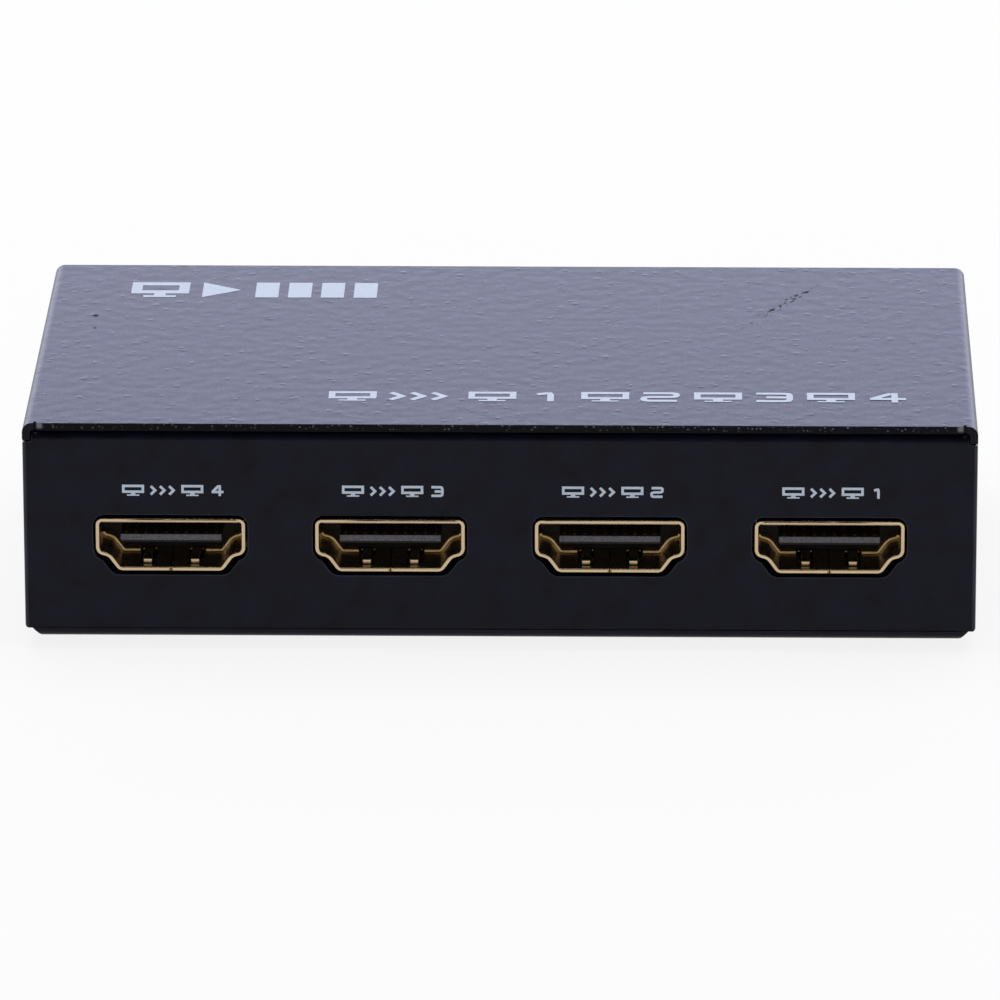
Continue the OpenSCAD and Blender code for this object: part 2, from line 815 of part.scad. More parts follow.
module dc_jack_shunt() {
  color([0.78, 0.76, 0.7])
  block(
    jack_x + jack_w / 2 - jack_tab_t, jack_x + jack_w / 2,
    shunt_y - jack_tab_w / 2, shunt_y + jack_tab_w / 2, board_z - jack_tab_out, jack_z - pad_gap
  );
}

// Power switch, its knob moves along X

module switch_base() {
  room = switch_sheet + 0.05;
  color([0.35, 0.22, 0.12])
  difference() {
    block(
      switch_x - switch_w / 2 + room, switch_x + switch_w / 2 - room,
      switch_y - switch_d + room, switch_y - room, board_top, board_top + switch_base_t
    );
    for (k = [-1 : 1])
      translate([switch_x + k * switch_lug_pitch, switch_y - switch_d / 2, board_top])
        cube([switch_pin, switch_pin, 4 * switch_base_t], center = true);
  }
}

module switch_lugs() {
  top = board_top + switch_base_t;
  color([0.82, 0.8, 0.72])
  for (k = [-1 : 1])
    translate([switch_x + k * switch_lug_pitch, switch_y - switch_d / 2, 0]) {
      block(-0.5, 0.5, -0.6, 0.6, top, top + switch_lug_t);
      block(
        -switch_pin / 2, switch_pin / 2, -switch_pin / 2, switch_pin / 2,
        board_z - switch_pin_out, top + EPS
      );
    }
}

module switch_frame() {
  t = switch_sheet;
  x0 = switch_x - switch_w / 2;
  x1 = switch_x + switch_w / 2;
  slot = (knob_travel + knob_w) / 2 + knob_gap;
  color([0.75, 0.75, 0.73])
  union() {
    difference() {
      block(x0, x1, switch_y - switch_d, switch_y, board_top, board_top + switch_h);
      block(
        x0 + t, x1 - t, switch_y - switch_d + t, switch_y - t, board_top - OVER, board_top + switch_h - t
      );
      block(
        switch_x - slot, switch_x + slot, switch_y - t - OVER, switch_y + OVER,
        knob_z - knob_h / 2 - knob_gap, knob_z + knob_h / 2 + knob_gap
      );
    }
    for (s = [-1, 1])
      translate([
        switch_x + s * (switch_w - t) / 2, switch_y - switch_d / 2,
        board_top - (board_t + frame_leg_h) / 2 + EPS
      ])
        cube([t, 2 * switch_pin, board_t + frame_leg_h], center = true);
  }
}

module switch_slider() {
  room = switch_sheet + knob_gap;
  color([0.15, 0.15, 0.16])
  union() {
    block(
      slider_rest - slider_w / 2, slider_rest + slider_w / 2,
      switch_y - switch_d + room, switch_y - room, slider_z, slider_top
    );
    block(
      slider_rest - knob_w / 2, slider_rest + knob_w / 2,
      switch_y - room - EPS, rear_y - mouth_setback, knob_z - knob_h / 2, knob_z + knob_h / 2
    );
  }
}

module switch_wiper() {
  reach = (switch_lug_pitch + 1) / 2;
  color([0.85, 0.7, 0.4])
  block(
    slider_rest - reach, slider_rest + reach,
    switch_y - switch_d / 2 - wiper_w / 2, switch_y - switch_d / 2 + wiper_w / 2,
    slider_z - wiper_t, slider_z
  );
}

// Lamps

module at_lamp(k) {
  translate([lamp_x - k * lamp_pitch, 0, lamp_z]) children();
}

module lamp_holders() {
  color([0.07, 0.07, 0.07])
  for (k = [0 : OUTPUTS])
    at_lamp(k)
      difference() {
        block(-holder_w / 2, holder_w / 2, holder_y0, holder_y1, -lamp_axis, holder_h - lamp_axis);
        rod_y(0, 0, holder_y0 - OVER, holder_y1 + OVER, lamp_r + lamp_gap);
        rod_y(0, 0, holder_y0 - OVER, holder_y0 + lamp_rim_t + lamp_gap, lamp_rim_r + lamp_gap);
      }
}

module lamp() {
  tip = rear_y - mouth_setback - holder_y0;
  dome = lamp_r;
  translate([0, holder_y0, 0]) rotate([-90, 0, 0])
    rotate_extrude()
      polygon(concat(
        [[0, 0], [lamp_rim_r, 0], [lamp_rim_r, lamp_rim_t], [lamp_r, lamp_rim_t]],
        [
          for (i = [0 : ARC_STEPS - 1])
            let (t = 90 * i / ARC_STEPS) [dome * cos(t), tip - dome + dome * sin(t)]
        ],
        [[0, tip]]
      ));
}

module power_lamp() {
  color([0.8, 0.15, 0.12]) at_lamp(0) lamp();
}

module channel_lamps() {
  color([0.2, 0.65, 0.3]) for (k = [1 : OUTPUTS]) at_lamp(k) lamp();
}

module lamp_leads() {
  drop = lamp_axis + board_t + lead_out;
  color([0.8, 0.8, 0.78])
  for (k = [0 : OUTPUTS], s = [-1, 1])
    at_lamp(k)
      along_x(s * lead_pitch / 2 - lead_t / 2, s * lead_pitch / 2 + lead_t / 2)
        polygon([
          [holder_y0, -lead_t / 2], [holder_y0, lead_t / 2], [lead_y, lead_t / 2], [lead_y, -drop],
          [lead_y + lead_t, -drop], [lead_y + lead_t, -lead_t / 2]
        ]);
}

// Chips and what stands around them

module gull_leads(n, pitch, edge, w, h) {
  mid = chip_lift + h / 2;
  t = chip_lead_t;
  knee = edge + 0.4 * chip_lead_len;
  for (i = [0 : n - 1])
    translate([0, (i - (n - 1) / 2) * pitch, board_top])
      along_y(-w / 2, w / 2)
        polygon([
          [edge, mid], [knee - t, mid], [knee - t, 0], [edge + chip_lead_len, 0],
          [edge + chip_lead_len, t], [knee, t], [knee, mid + t], [edge, mid + t]
        ]);
}

module chip_body(x, y, w, d, h) {
  translate([x, y, board_top + chip_lift + h / 2]) cube([w, d, h], center = true);
}

module splitter_chip() {
  color([0.1, 0.1, 0.1]) chip_body(0, chip_y, chip_w, chip_w, chip_h);
}

module splitter_leads() {
  pitch = (chip_w - 2 * edge_lead_inset) / (chip_leads - 1);
  color([0.8, 0.8, 0.8])
  for (a = [0 : 90 : 270])
    translate([0, chip_y, 0]) rotate([0, 0, a]) gull_leads(chip_leads, pitch, chip_w / 2, lead_w, chip_h);
}

module thermal_pad() {
  color([0.55, 0.6, 0.7])
  translate([0, chip_y, chip_top + pad_t / 2]) cube([chip_w, chip_w, pad_t], center = true);
}

module heat_sink() {
  low = chip_top + pad_t;
  step = (sink_w - fin_t) / (fin_count - 1);
  color([0.75, 0.75, 0.77])
  union() {
    translate([0, chip_y, low + sink_base_t / 2]) cube([sink_w, sink_w, sink_base_t], center = true);
    for (i = [0 : fin_count - 1])
      translate([-sink_w / 2 + i * step, chip_y - sink_w / 2, low]) cube([fin_t, sink_w, sink_h]);
  }
}

module memory_chip() {
  color([0.1, 0.1, 0.1]) chip_body(memory_at.x, memory_at.y, memory_size.x, memory_size.y, memory_size.z);
}

module memory_leads() {
  color([0.8, 0.8, 0.8])
  for (a = [0, 180])
    translate([memory_at.x, memory_at.y, 0]) rotate([0, 0, a])
      gull_leads(4, memory_lead_pitch, memory_size.x / 2, memory_lead_w, memory_size.z);
}

module regulator_body() {
  color([0.1, 0.1, 0.1])
  chip_body(regulator_at.x, regulator_at.y, regulator_size.x, regulator_size.y, regulator_size.z);
}

module regulator_leads() {
  color([0.8, 0.8, 0.8])
  translate([regulator_at.x, regulator_at.y, 0]) {
    gull_leads(3, regulator_lead_pitch, regulator_size.x / 2, regulator_lead_w, regulator_size.z);
    rotate([0, 0, 180]) gull_leads(1, 0, regulator_size.x / 2, regulator_tab_w, regulator_size.z);
  }
}

module crystal() {
  w = crystal_size.x / 2;
  l = crystal_size.y / 2;
  color([0.8, 0.8, 0.82])
  translate([crystal_at.x, crystal_at.y, board_top])
    linear_extrude(height = crystal_size.z)
      polygon(rounded(box_points(-w, -l, w, l), [for (i = [0 : 3]) crystal_round * w]));
}

module capacitor_bases() {
  color([0.1, 0.1, 0.1])
  for (p = capacitor_at)
    translate([p.x, p.y, board_top + capacitor_base_h / 2])
      cube([capacitor_base, capacitor_base, capacitor_base_h], center = true);
}

module capacitor_cans() {
  color([0.78, 0.78, 0.8])
  for (p = capacitor_at)
    translate([p.x, p.y, board_top + capacitor_base_h])
      cylinder(h = capacitor_h - capacitor_base_h, r = capacitor_r);
}

module power_inductor() {
  w = inductor_size.x / 2;
  color([0.25, 0.25, 0.26])
  translate([inductor_at.x, inductor_at.y, board_top])
    linear_extrude(height = inductor_size.z)
      polygon(rounded(box_points(-w, -w, w, w), [for (i = [0 : 3]) inductor_round * w]));
}

module input_diode() {
  color([0.12, 0.12, 0.12])
  translate([diode_at.x, diode_at.y, board_top + diode_size.z / 2]) cube(diode_size, center = true);
}

module surge_arrays() {
  color([0.15, 0.15, 0.15])
  for (n = [1 : OUTPUTS], s = [-1, 1])
    translate([output_x(n) + s * array_x, array_y, board_top + array_size.z / 2])
      cube(array_size, center = true);
}

module chip_resistors() {
  color([0.2, 0.2, 0.22])
  for (n = [1 : OUTPUTS], i = [0 : resistor_row - 1])
    translate([
      output_x(n) + (i - (resistor_row - 1) / 2) * resistor_pitch, resistor_y, board_top + resistor_size.z / 2
    ])
      cube(resistor_size, center = true);
}

module chip_capacitors() {
  color([0.62, 0.5, 0.36])
  for (s = [-1, 1], i = [0 : ceramic_row - 1])
    translate([
      s * ceramic_x, chip_y + (i - ceramic_row / 2) * ceramic_pitch, board_top + ceramic_size.z / 2
    ])
      cube(ceramic_size, center = true);
}

// What is drawn

bottom_tray();
board_standoffs();
clinch_nuts();
circuit_board();
board_screws();
for (n = [1 : OUTPUTS]) {
  at_output(n) socket_shell();
  at_output(n) socket_insulator();
  at_output(n) socket_contacts();
}
at_input() socket_shell();  // input_shell
at_input() socket_insulator();  // input_insulator
at_input() socket_contacts();  // input_contacts
dc_jack_body();
dc_jack_pin();
dc_jack_spring();
dc_jack_shunt();
switch_base();
switch_lugs();
switch_frame();
switch_slider();
switch_wiper();
lamp_holders();
power_lamp();
channel_lamps();
lamp_leads();
splitter_chip();
splitter_leads();
thermal_pad();
heat_sink();
memory_chip();
memory_leads();
regulator_body();
regulator_leads();
crystal();
capacitor_bases();
capacitor_cans();
power_inductor();
input_diode();
surge_arrays();
chip_resistors();
chip_capacitors();
top_cover();
cover_screws();
rubber_feet();
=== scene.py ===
import math

import bmesh
import bpy
from mathutils import Matrix, Vector


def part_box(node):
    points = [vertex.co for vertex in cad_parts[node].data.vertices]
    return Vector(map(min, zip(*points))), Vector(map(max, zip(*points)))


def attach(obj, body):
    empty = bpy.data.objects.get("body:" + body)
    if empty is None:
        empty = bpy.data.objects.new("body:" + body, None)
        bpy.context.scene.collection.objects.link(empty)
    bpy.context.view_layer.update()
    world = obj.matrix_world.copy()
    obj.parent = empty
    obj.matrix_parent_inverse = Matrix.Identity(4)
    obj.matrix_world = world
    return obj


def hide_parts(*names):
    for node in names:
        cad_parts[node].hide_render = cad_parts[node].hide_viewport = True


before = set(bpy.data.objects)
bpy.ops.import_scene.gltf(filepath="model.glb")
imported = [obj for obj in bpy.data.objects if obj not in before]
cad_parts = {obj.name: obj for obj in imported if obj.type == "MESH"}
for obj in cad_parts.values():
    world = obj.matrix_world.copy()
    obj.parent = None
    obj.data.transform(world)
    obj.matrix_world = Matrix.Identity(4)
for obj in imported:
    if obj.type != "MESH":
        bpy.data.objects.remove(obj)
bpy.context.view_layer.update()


# Bottom tray
# Floor, front and rear panels and side flanges of the box, in one piece of 0.8 mm steel sheet.
# Punched flat, folded on a brake and powder coated, so that every edge carries a soft roll of paint.

MM = 0.001
SHARP = math.radians(38)
FLAT = math.radians(0.05)
WELD = 0.002 * MM
SLIVER = 0.001 * MM
TOUCH = 0.02 * MM
FACING = 0.9
CLOUD_LOW, CLOUD_HIGH = 0.3, 0.7
PAINT_ROLL = 0.09 * MM
ROUND_END = 0.48 * MM
# How far in from the panels' round ends the painted highlight of the edge coat reaches.
HIGHLIGHT_END = 0.5 * MM
TURNED = 0.15
DRIFT = 0.4 * MM
tray_low, tray_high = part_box("bottom_tray")


def linear(hex_colour):
    """The linear colour that a shader socket takes, from sRGB hex."""
    parts = [int(hex_colour[i : i + 2], 16) / 255 for i in (0, 2, 4)]
    return (*[c / 12.92 if c <= 0.04045 else ((c + 0.055) / 1.055) ** 2.4 for c in parts], 1.0)


def add(tree, kind, inputs=(), **settings):
    """Adds one node; each input is a value or another node's output."""
    made = tree.nodes.new(kind)
    for key, value in settings.items():
        setattr(made, key, value)
    for key, value in dict(inputs).items():
        if isinstance(value, bpy.types.NodeSocket):
            tree.links.new(value, made.inputs[key])
        else:
            made.inputs[key].default_value = value
    return made


def new_finish(name):
    """An empty material, its node tree and the Object coordinates of the piece that wears it."""
    material = bpy.data.materials.new(name)
    material.use_nodes = True
    material.node_tree.nodes.clear()
    place = add(material.node_tree, "ShaderNodeTexCoord").outputs["Object"]
    return material, material.node_tree, place


def per(size_mm):
    """Texture scale of a pattern whose grain is that many millimetres."""
    return 1 / (size_mm * MM)


def noise(tree, place, size_mm, detail=2.0):
    """A cloudy grain of that size."""
    inputs = {"Vector": place, "Scale": per(size_mm), "Detail": detail}
    return add(tree, "ShaderNodeTexNoise", inputs).outputs[0]


def voronoi(tree, place, size_mm):
    """The distances and chance colours of scattered cells of that size."""
    return add(tree, "ShaderNodeTexVoronoi", {"Vector": place, "Scale": per(size_mm)}).outputs


def stretched(tree, place, scale):
    """Coordinates that draw a grain out along the axes of low scale."""
    return add(tree, "ShaderNodeMapping", {"Vector": place, "Scale": scale}).outputs[0]


def bump(tree, height, depth, **under):
    """Relief of that depth, which may lie on another."""
    return add(tree, "ShaderNodeBump", {"Height": height, "Distance": depth, **under}).outputs[0]


def two_tone(tree, factor, low, high):
    """One colour into another, by a texture's value; the first may come from another node."""
    low = linear(low) if isinstance(low, str) else low
    return add(tree, "ShaderNodeMix", {0: factor, 6: low, 7: linear(high)}, data_type="RGBA").outputs[2]


def between(tree, value, low, high, to_low, to_high, **settings):
    """A texture's value, moved from one range to another."""
    ranges = {"From Min": low, "From Max": high, "To Min": to_low, "To Max": to_high}
    return add(tree, "ShaderNodeMapRange", {"Value": value, **ranges}, **settings).outputs[0]


def spread(tree, cloud, low, high):
    """A value that follows a cloudy grain from its thin parts to its dense ones."""
    return between(tree, cloud, CLOUD_LOW, CLOUD_HIGH, low, high)


def maths(tree, operation, first, second=0.0):
    """One sum on two values."""
    return add(tree, "ShaderNodeMath", {0: first, 1: second}, operation=operation).outputs[0]


def shade(tree, tone, rough, relief=None, metal=0.0, specular=0.5, more=()):
    """Ends a material in one Principled shader."""
    inputs = {"Base Color": tone, "Roughness": rough, "Metallic": metal, "Specular IOR Level": specular}
    if relief is not None:
        inputs["Normal"] = relief
    shader = add(tree, "ShaderNodeBsdfPrincipled", {**inputs, **dict(more)})
    add(tree, "ShaderNodeOutputMaterial", {"Surface": shader.outputs[0]})


# Satin black powder coat: a deep blue-black with soft orange-peel lumps, about 0.6 mm across and
# scattered, on a slow swell; they dance in the reflections along the top and hardly show square on.
def powder_coat(name, deep, pale, wear=None):
    coat, tree, place = new_finish(name)
    drift = add(tree, "ShaderNodeTexNoise", {"Vector": place, "Scale": per(1.2), "Detail": 0.0})
    bent = add(
        tree,
        "ShaderNodeVectorMath",
        {0: drift.outputs["Color"], 1: (DRIFT, DRIFT, DRIFT), 2: place},
        operation="MULTIPLY_ADD",
    ).outputs[0]
    cells = voronoi(tree, bent, 1.2)
    chance = add(tree, "ShaderNodeSeparateColor", {0: cells["Color"]}).outputs
    reach = maths(tree, "MULTIPLY", cells["Distance"], between(tree, chance[1], 0.0, 1.0, 1.3, 0.75))
    lumps = between(tree, reach, 0.02, 0.4, 1.0, 0.0, interpolation_type="SMOOTHSTEP")
    lumps = maths(tree, "MULTIPLY", lumps, between(tree, chance[0], 0.2, 1.0, 0.0, 1.0))
    tone = two_tone(tree, spread(tree, noise(tree, place, 3.0), 0.0, 1.0), deep, pale)
    rough = spread(tree, noise(tree, place, 0.22, detail=1.0), 0.27, 0.33)
    if wear:
        worn = wear(tree, place)
        rough = add(tree, "ShaderNodeMix", {0: worn, 2: rough, 3: 0.85}).outputs[0]
        tone = two_tone(tree, worn, tone, "2A2326")
    waves = bump(tree, noise(tree, place, 1.6, detail=0.0), 0.03 * MM)
    waves = bump(tree, lumps, 0.028 * MM, Normal=waves)
    shade(tree, tone, rough, waves, specular=0.125)
    return coat


case_coat = powder_coat("satin_black_powder_coat", "070811", "0F0F22")
# The same coat in a lighter dark grey on rolled edges and bends: a painted highlight along them.
edge_highlight_coat = powder_coat("rubbed_powder_coat", "262932", "333642")


def new_piece(build, name, *finishes):
    """Ends a mesh that is being built, as a new object in the scene."""
    mesh = bpy.data.meshes.new(name)
    build.to_mesh(mesh)
    build.free()
    for finish in finishes:
        mesh.materials.append(finish)
    piece = bpy.data.objects.new(name, mesh)
    bpy.context.scene.collection.objects.link(piece)
    return piece


def welded(node, name, *finishes):
    """A copy of a CAD node's mesh with its loose triangles joined, as a new object."""
    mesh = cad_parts[node].data
    build = bmesh.new()
    corners = [build.verts.new(v.co) for v in mesh.vertices]
    for face in mesh.polygons:
        build.faces.new([corners[i] for i in face.vertices])
    bmesh.ops.remove_doubles(build, verts=build.verts, dist=WELD)
    bmesh.ops.dissolve_degenerate(build, edges=build.edges, dist=SLIVER)
    bmesh.ops.dissolve_limit(build, angle_limit=FLAT, verts=build.verts, edges=build.edges)
    return new_piece(build, name, *finishes)


def settled(piece):
    """Turns a piece with modifiers into a plain mesh."""
    graph = bpy.context.evaluated_depsgraph_get()
    plain = bpy.data.meshes.new_from_object(piece.evaluated_get(graph), depsgraph=graph)
    piece.modifiers.clear()
    piece.data = plain
    plain.name = piece.name
    return piece


def rolled(piece, radius, steps=2, share=None, edge_slot=-1):
    """Rounds a piece's sharp edges; share gives an edge's part of the radius, from its middle."""
    build = bmesh.new()
    build.from_mesh(piece.data)
    weight = build.edges.layers.float.new("bevel_weight_edge")
    for edge in build.edges:
        if len(edge.link_faces) == 2 and edge.calc_face_angle() > SHARP:
            edge[weight] = share((edge.verts[0].co + edge.verts[1].co) / 2) if share else 1.0
            edge.smooth = edge[weight] > 0
    build.to_mesh(piece.data)
    build.free()
    piece.data.shade_smooth()
    bevel = piece.modifiers.new("roll", "BEVEL")
    bevel.width = radius
    bevel.segments = steps
    bevel.limit_method = "WEIGHT"
    bevel.use_clamp_overlap = False
    bevel.material = edge_slot
    flats = piece.modifiers.new("flats", "WEIGHTED_NORMAL")
    flats.weight = 50
    flats.keep_sharp = True
    return settled(piece)


def fitted(piece, finish, slot, *nodes, body="case"):
    """Dresses a piece, hangs it on the body that carries it and hides the CAD nodes it stands for."""
    if finish is not None:
        piece.data.materials.clear()
        piece.data.materials.append(finish)
    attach(piece, body)
    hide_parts(*nodes)


def off_the_ends(middle):
    """All of the roll, but none on the short edges that cap the panels' round ends."""
    from_side = tray_high.x - abs(middle.x)
    from_face = min(middle.y - tray_low.y, tray_high.y - middle.y)
    return float(max(from_side, from_face) > ROUND_END)


tray = welded("bottom_tray", "folded_tray", case_coat, edge_highlight_coat)
# The tray's rolled edges take the lighter edge coat, a painted highlight.
tray = rolled(tray, PAINT_ROLL, share=off_the_ends, edge_slot=1)
# The round ends of the panels get the lighter edge coat too, as a painted highlight.
for face in tray.data.polygons:
    at_end = abs(face.center.x) > tray_high.x - HIGHLIGHT_END
    if at_end and min(abs(face.normal.x), abs(face.normal.y)) > TURNED:
        face.material_index = 1
fitted(tray, None, "black_paint", "bottom_tray")


# Board fixings
# Four clinch standoffs pressed into the tray's floor, four clinch nuts in its side flanges
# and the four pan-head screws that hold the board; all turned steel with bright zinc.


def grained(name, low, high, size, rough, detail=2.0, depth=0, marks=0, stretch=None, **more):
    """A finish of two tones in one grain, which a pair of roughnesses follows and which may stand
    out by a depth, unless marks of another size do; all sizes are in millimetres."""
    finish, tree, place = new_finish(name)
    if stretch:
        place = stretched(tree, place, stretch)
    grain = noise(tree, place, size, detail)
    rough = spread(tree, grain, *rough) if isinstance(rough, tuple) else rough
    raised = noise(tree, place, marks) if marks else grain
    relief = bump(tree, raised, depth * MM) if depth else None
    shade(tree, two_tone(tree, grain, low, high), rough, relief, **more)
    return finish


# Bright zinc plate: blue-grey metal with a cloudy passivated bloom and faint turning marks.
zinc = grained(
    "bright_zinc_plate", "A9ACB0", "C9CBCB", 1.6, (0.28, 0.42), detail=3, depth=0.004, marks=0.12, metal=1.0
)


def dressed(node, name, roll_mm, finish, slot, steps=2, body="case"):
    """A CAD node's own shape with its edges rolled, in a finish."""
    fitted(rolled(welded(node, name), roll_mm * MM, steps), finish, slot, node, body=body)


for node in ("board_standoffs", "clinch_nuts", "board_screws"):
    dressed(node, "zinc_" + node, 0.08, zinc, "plated_steel")


# Circuit board
# A 1.6 mm glass-epoxy board, routed and drilled, with etched tracks under green solder mask.
# It lies on the standoffs and carries every socket, the switch, the lamps and the chips.

# Green solder mask: dark gloss lacquer, paler where copper tracks about 0.4 mm wide run under it.
solder_mask, tree, place = new_finish("green_solder_mask")
grid = {"Scale": per(4.0), "Mortar Size": 0.09, "Brick Width": 0.9, "Row Height": 0.35}
gaps = add(tree, "ShaderNodeTexBrick", {"Vector": place, **grid}).outputs[1]
runs = noise(tree, place, 6.0)
tracks = maths(tree, "MULTIPLY", gaps, between(tree, runs, 0.45, 0.5, 0.0, 1.0))
tone = two_tone(tree, tracks, "0B3A20", "1B5C33")
shade(tree, tone, spread(tree, runs, 0.22, 0.34), bump(tree, tracks, 0.03 * MM))

# Routed board edge: bare laminate, dark and fibrous, with no lacquer over it.
routed_edge = grained(
    "routed_laminate_edge", "0C0D0A", "171910", 0.8, 0.8, detail=3.0, stretch=(1, 1, 6), specular=0.1
)

BOARD_ROLL = 0.06 * MM
board = welded("circuit_board", "glass_epoxy_board", solder_mask, routed_edge)
board = rolled(board, BOARD_ROLL, steps=1)
for face in board.data.polygons:
    face.material_index = int(abs(face.normal.z) < FACING)
fitted(board, None, "board_green", "circuit_board")


# Sockets
# Four outputs in the front and one input in the rear: a stamped shell bent to shape and plated,
# a moulded insulator with its tongue, and nineteen stamped contacts; soldered to the board's edge.

SOCKETS = ("output_1", "output_2", "output_3", "output_4", "input")
SQUARE_ON = 0.99
KEY_DIGITS = 7
SHELL_ROLL = 0.14 * MM
SEAM_HALF = 0.3 * MM
LEG_FROM = 6.9 * MM
MOUTH_DEEP = 2.0 * MM
SPRING_X = 2.37 * MM
SPRING_HALF = 0.5 * MM
SPRING_TIP = 1.3 * MM
SPRING_UNDER = 0.28 * MM
SPRING_MIDDLE = 0.5 * MM
SPRING_CURL = 0.22 * MM
SPRING_CROWN = 0.27 * MM
LIP_W = 0.2 * MM
LIP_OUT = 1.3 * MM
LIP_LEAN = 0.06 * MM
LIP_TOP = 2.4 * MM
LIP_FROM = 3.3 * MM
TONGUE_HALF = 5.4 * MM
TONGUE_FROM = 1.2 * MM
# Share of the nose's height, from its top, that is pale as painted light; the lower rest stays dark as
# painted shade.
NOSE_LIT_SHARE = 0.76

# Thin gold plate over nickel: warm, slightly pink, satin from the press, with lines along the bend.
gold, tree, place = new_finish("thin_gold_plate")
stain = noise(tree, place, 2.2)
tone = two_tone(tree, stain, "BBA382", "D2BC9A")
press_lines = noise(tree, stretched(tree, place, (1.0, 0.12, 1.0)), 0.18)
shade(tree, tone, spread(tree, stain, 0.2, 0.3), bump(tree, press_lines, 0.001 * MM), metal=1.0)

# Glass-filled liquid-crystal plastic: dull black-brown, with a short-fibre mottle.
socket_plastic = grained(
    "glass_filled_black_plastic", "120E0B", "1D1713", 0.3, 0.5, detail=3.0, depth=0.01, specular=0.2
)

# The same plastic in a pale grey, grainy matt on the upper part of the tongue's nose: painted light on the
# face that looks out of the mouth.
nose_light_plastic, tree, place = new_finish("rubbed_grey_plastic")
grain = noise(tree, place, 0.16, detail=3.0)
tone = two_tone(tree, between(tree, grain, 0.35, 0.65, 0.0, 1.0), "404046", "62626B")
shade(tree, tone, 0.6, bump(tree, grain, 0.01 * MM))

# Hard gold on bronze: brighter and yellower than the shell, polished by the die.
contact_gold = grained("hard_gold_on_bronze", "906A32", "AF8748", 0.5, (0.18, 0.3), metal=1.0)

# Crimped gold lip: the same plate, burnished by the crimping tool to a soft, pale line.
lip_gold = grained("burnished_gold_lip", "C2A56E", "DCC08C", 0.4, (0.42, 0.55), metal=1.0)


def painted(finish, *nodes):
    """Gives CAD nodes that are shown as they are a finish."""
    for node in nodes:
        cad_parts[node].data.materials[0] = finish


def off_seam_and_legs(middle):
    """All of the roll, but none at the seam in the shell's floor or where its legs leave its sides."""
    from_centre = abs(middle.x - centre)
    at_leg = from_centre > LEG_FROM and abs(middle.y - mouth) > MOUTH_DEEP
    return 0.0 if at_leg or from_centre < SEAM_HALF else 1.0


def front_key(corner):
    """Where a corner lies as the front shows it, for finding its twin."""
    return round(corner.co.x, KEY_DIGITS), round(corner.co.z, KEY_DIGITS)


for socket in SOCKETS:
    outward = 1 if socket == "input" else -1
    shell_low, shell_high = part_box(socket + "_shell")
    centre = (shell_low.x + shell_high.x) / 2
    mouth = shell_high.y if outward > 0 else shell_low.y
    shell = welded(socket + "_shell", socket + "_plated_shell", gold)
    sill = min(v.co.z for v in shell.data.vertices if abs(v.co.y - mouth) < TOUCH)
    # Both spring fingers end in a rolled tip: its underside curls down to the slot, its top stands up.
    for corner in shell.data.vertices:
        on_finger = abs(abs(corner.co.x - centre) - SPRING_X) < SPRING_HALF
        at_tip = abs(abs(corner.co.y - mouth) - SPRING_TIP) < TOUCH
        height = corner.co.z - sill
        if on_finger and at_tip and height > SPRING_UNDER:
            corner.co.z += SPRING_CROWN if height > SPRING_MIDDLE else -SPRING_CURL
    shell = rolled(shell, SHELL_ROLL, steps=4, share=off_seam_and_legs)
    fitted(shell, None, "gold_plate", socket + "_shell")
    finishes = (socket_plastic, nose_light_plastic, lip_gold)
    insulator = welded(socket + "_insulator", socket + "_moulded_insulator", *finishes)
    build = bmesh.new()
    build.from_mesh(insulator.data)
    fronts = [f for f in build.faces if f.normal.y * outward > SQUARE_ON]
    nose = max(fronts, key=lambda f: f.calc_center_median().y * outward)
    seat = {f for f in fronts if f is not nose}
    # The shell's crimp shows as a bright lip along the lower corners of the insulator's seat,
    # proud of it and leaning back a little.
    for x in (centre - LIP_FROM, centre + LIP_FROM):
        near = [*seat, *{e for f in seat for e in f.edges}, *{v for f in seat for v in f.verts}]
        cut = bmesh.ops.bisect_plane(build, geom=near, plane_co=(x, 0, 0), plane_no=(1, 0, 0))["geom"]
        seat |= {item for item in cut if isinstance(item, bmesh.types.BMFace)}
    seat = [f for f in seat if f.is_valid and f.normal.y * outward > SQUARE_ON]
    rim = bmesh.ops.inset_region(build, faces=seat, thickness=LIP_W, use_even_offset=True)["faces"]
    lip = []
    for face in rim:
        spot = face.calc_center_median()
        from_centre = abs(spot.x - centre)
        beside_tongue = from_centre < TONGUE_HALF and spot.z > sill + TONGUE_FROM
        if spot.z < sill + LIP_TOP and from_centre > LIP_FROM and not beside_tongue:
            lip.append(face)
    inner = {v for f in lip for v in f.verts if all(abs(g.normal.y) > FACING for g in v.link_faces)}
    inner = {front_key(v) for v in inner}
    drawn_out = bmesh.ops.extrude_face_region(build, geom=lip)["geom"]
    proud = [item for item in drawn_out if isinstance(item, bmesh.types.BMVert)]
    for corner in proud:
        corner.co.y += outward * (LIP_OUT - (LIP_LEAN if front_key(corner) in inner else 0.0))
    for face in {f for v in proud for f in v.link_faces}:
        face.material_index = 2
    # The upper part of the tongue's nose is pale as painted light; below it the nose keeps the dark plastic
    # as painted shade.
    heights = [v.co.z for v in nose.verts]
    lit_from = max(heights) - NOSE_LIT_SHARE * (max(heights) - min(heights))
    around = [nose, *nose.edges, *nose.verts]
    bmesh.ops.bisect_plane(build, geom=around, plane_co=(0, 0, lit_from), plane_no=(0, 0, 1))
    nose_y = max(v.co.y * outward for v in build.verts)
    for face in build.faces:
        spot = face.calc_center_median()
        if spot.y * outward > nose_y - TOUCH / 2 and spot.z > lit_from:
            face.material_index = 1
    build.to_mesh(insulator.data)
    build.free()
    insulator.data.shade_flat()
    fitted(insulator, None, "socket_black", socket + "_insulator")
    painted(contact_gold, socket + "_contacts")


# Power inlet
# A moulded barrel-jack housing with a turned centre pin, a leaf spring and a shunt blade,
# pushed through the rear panel by its nose and soldered to the board by three tags.

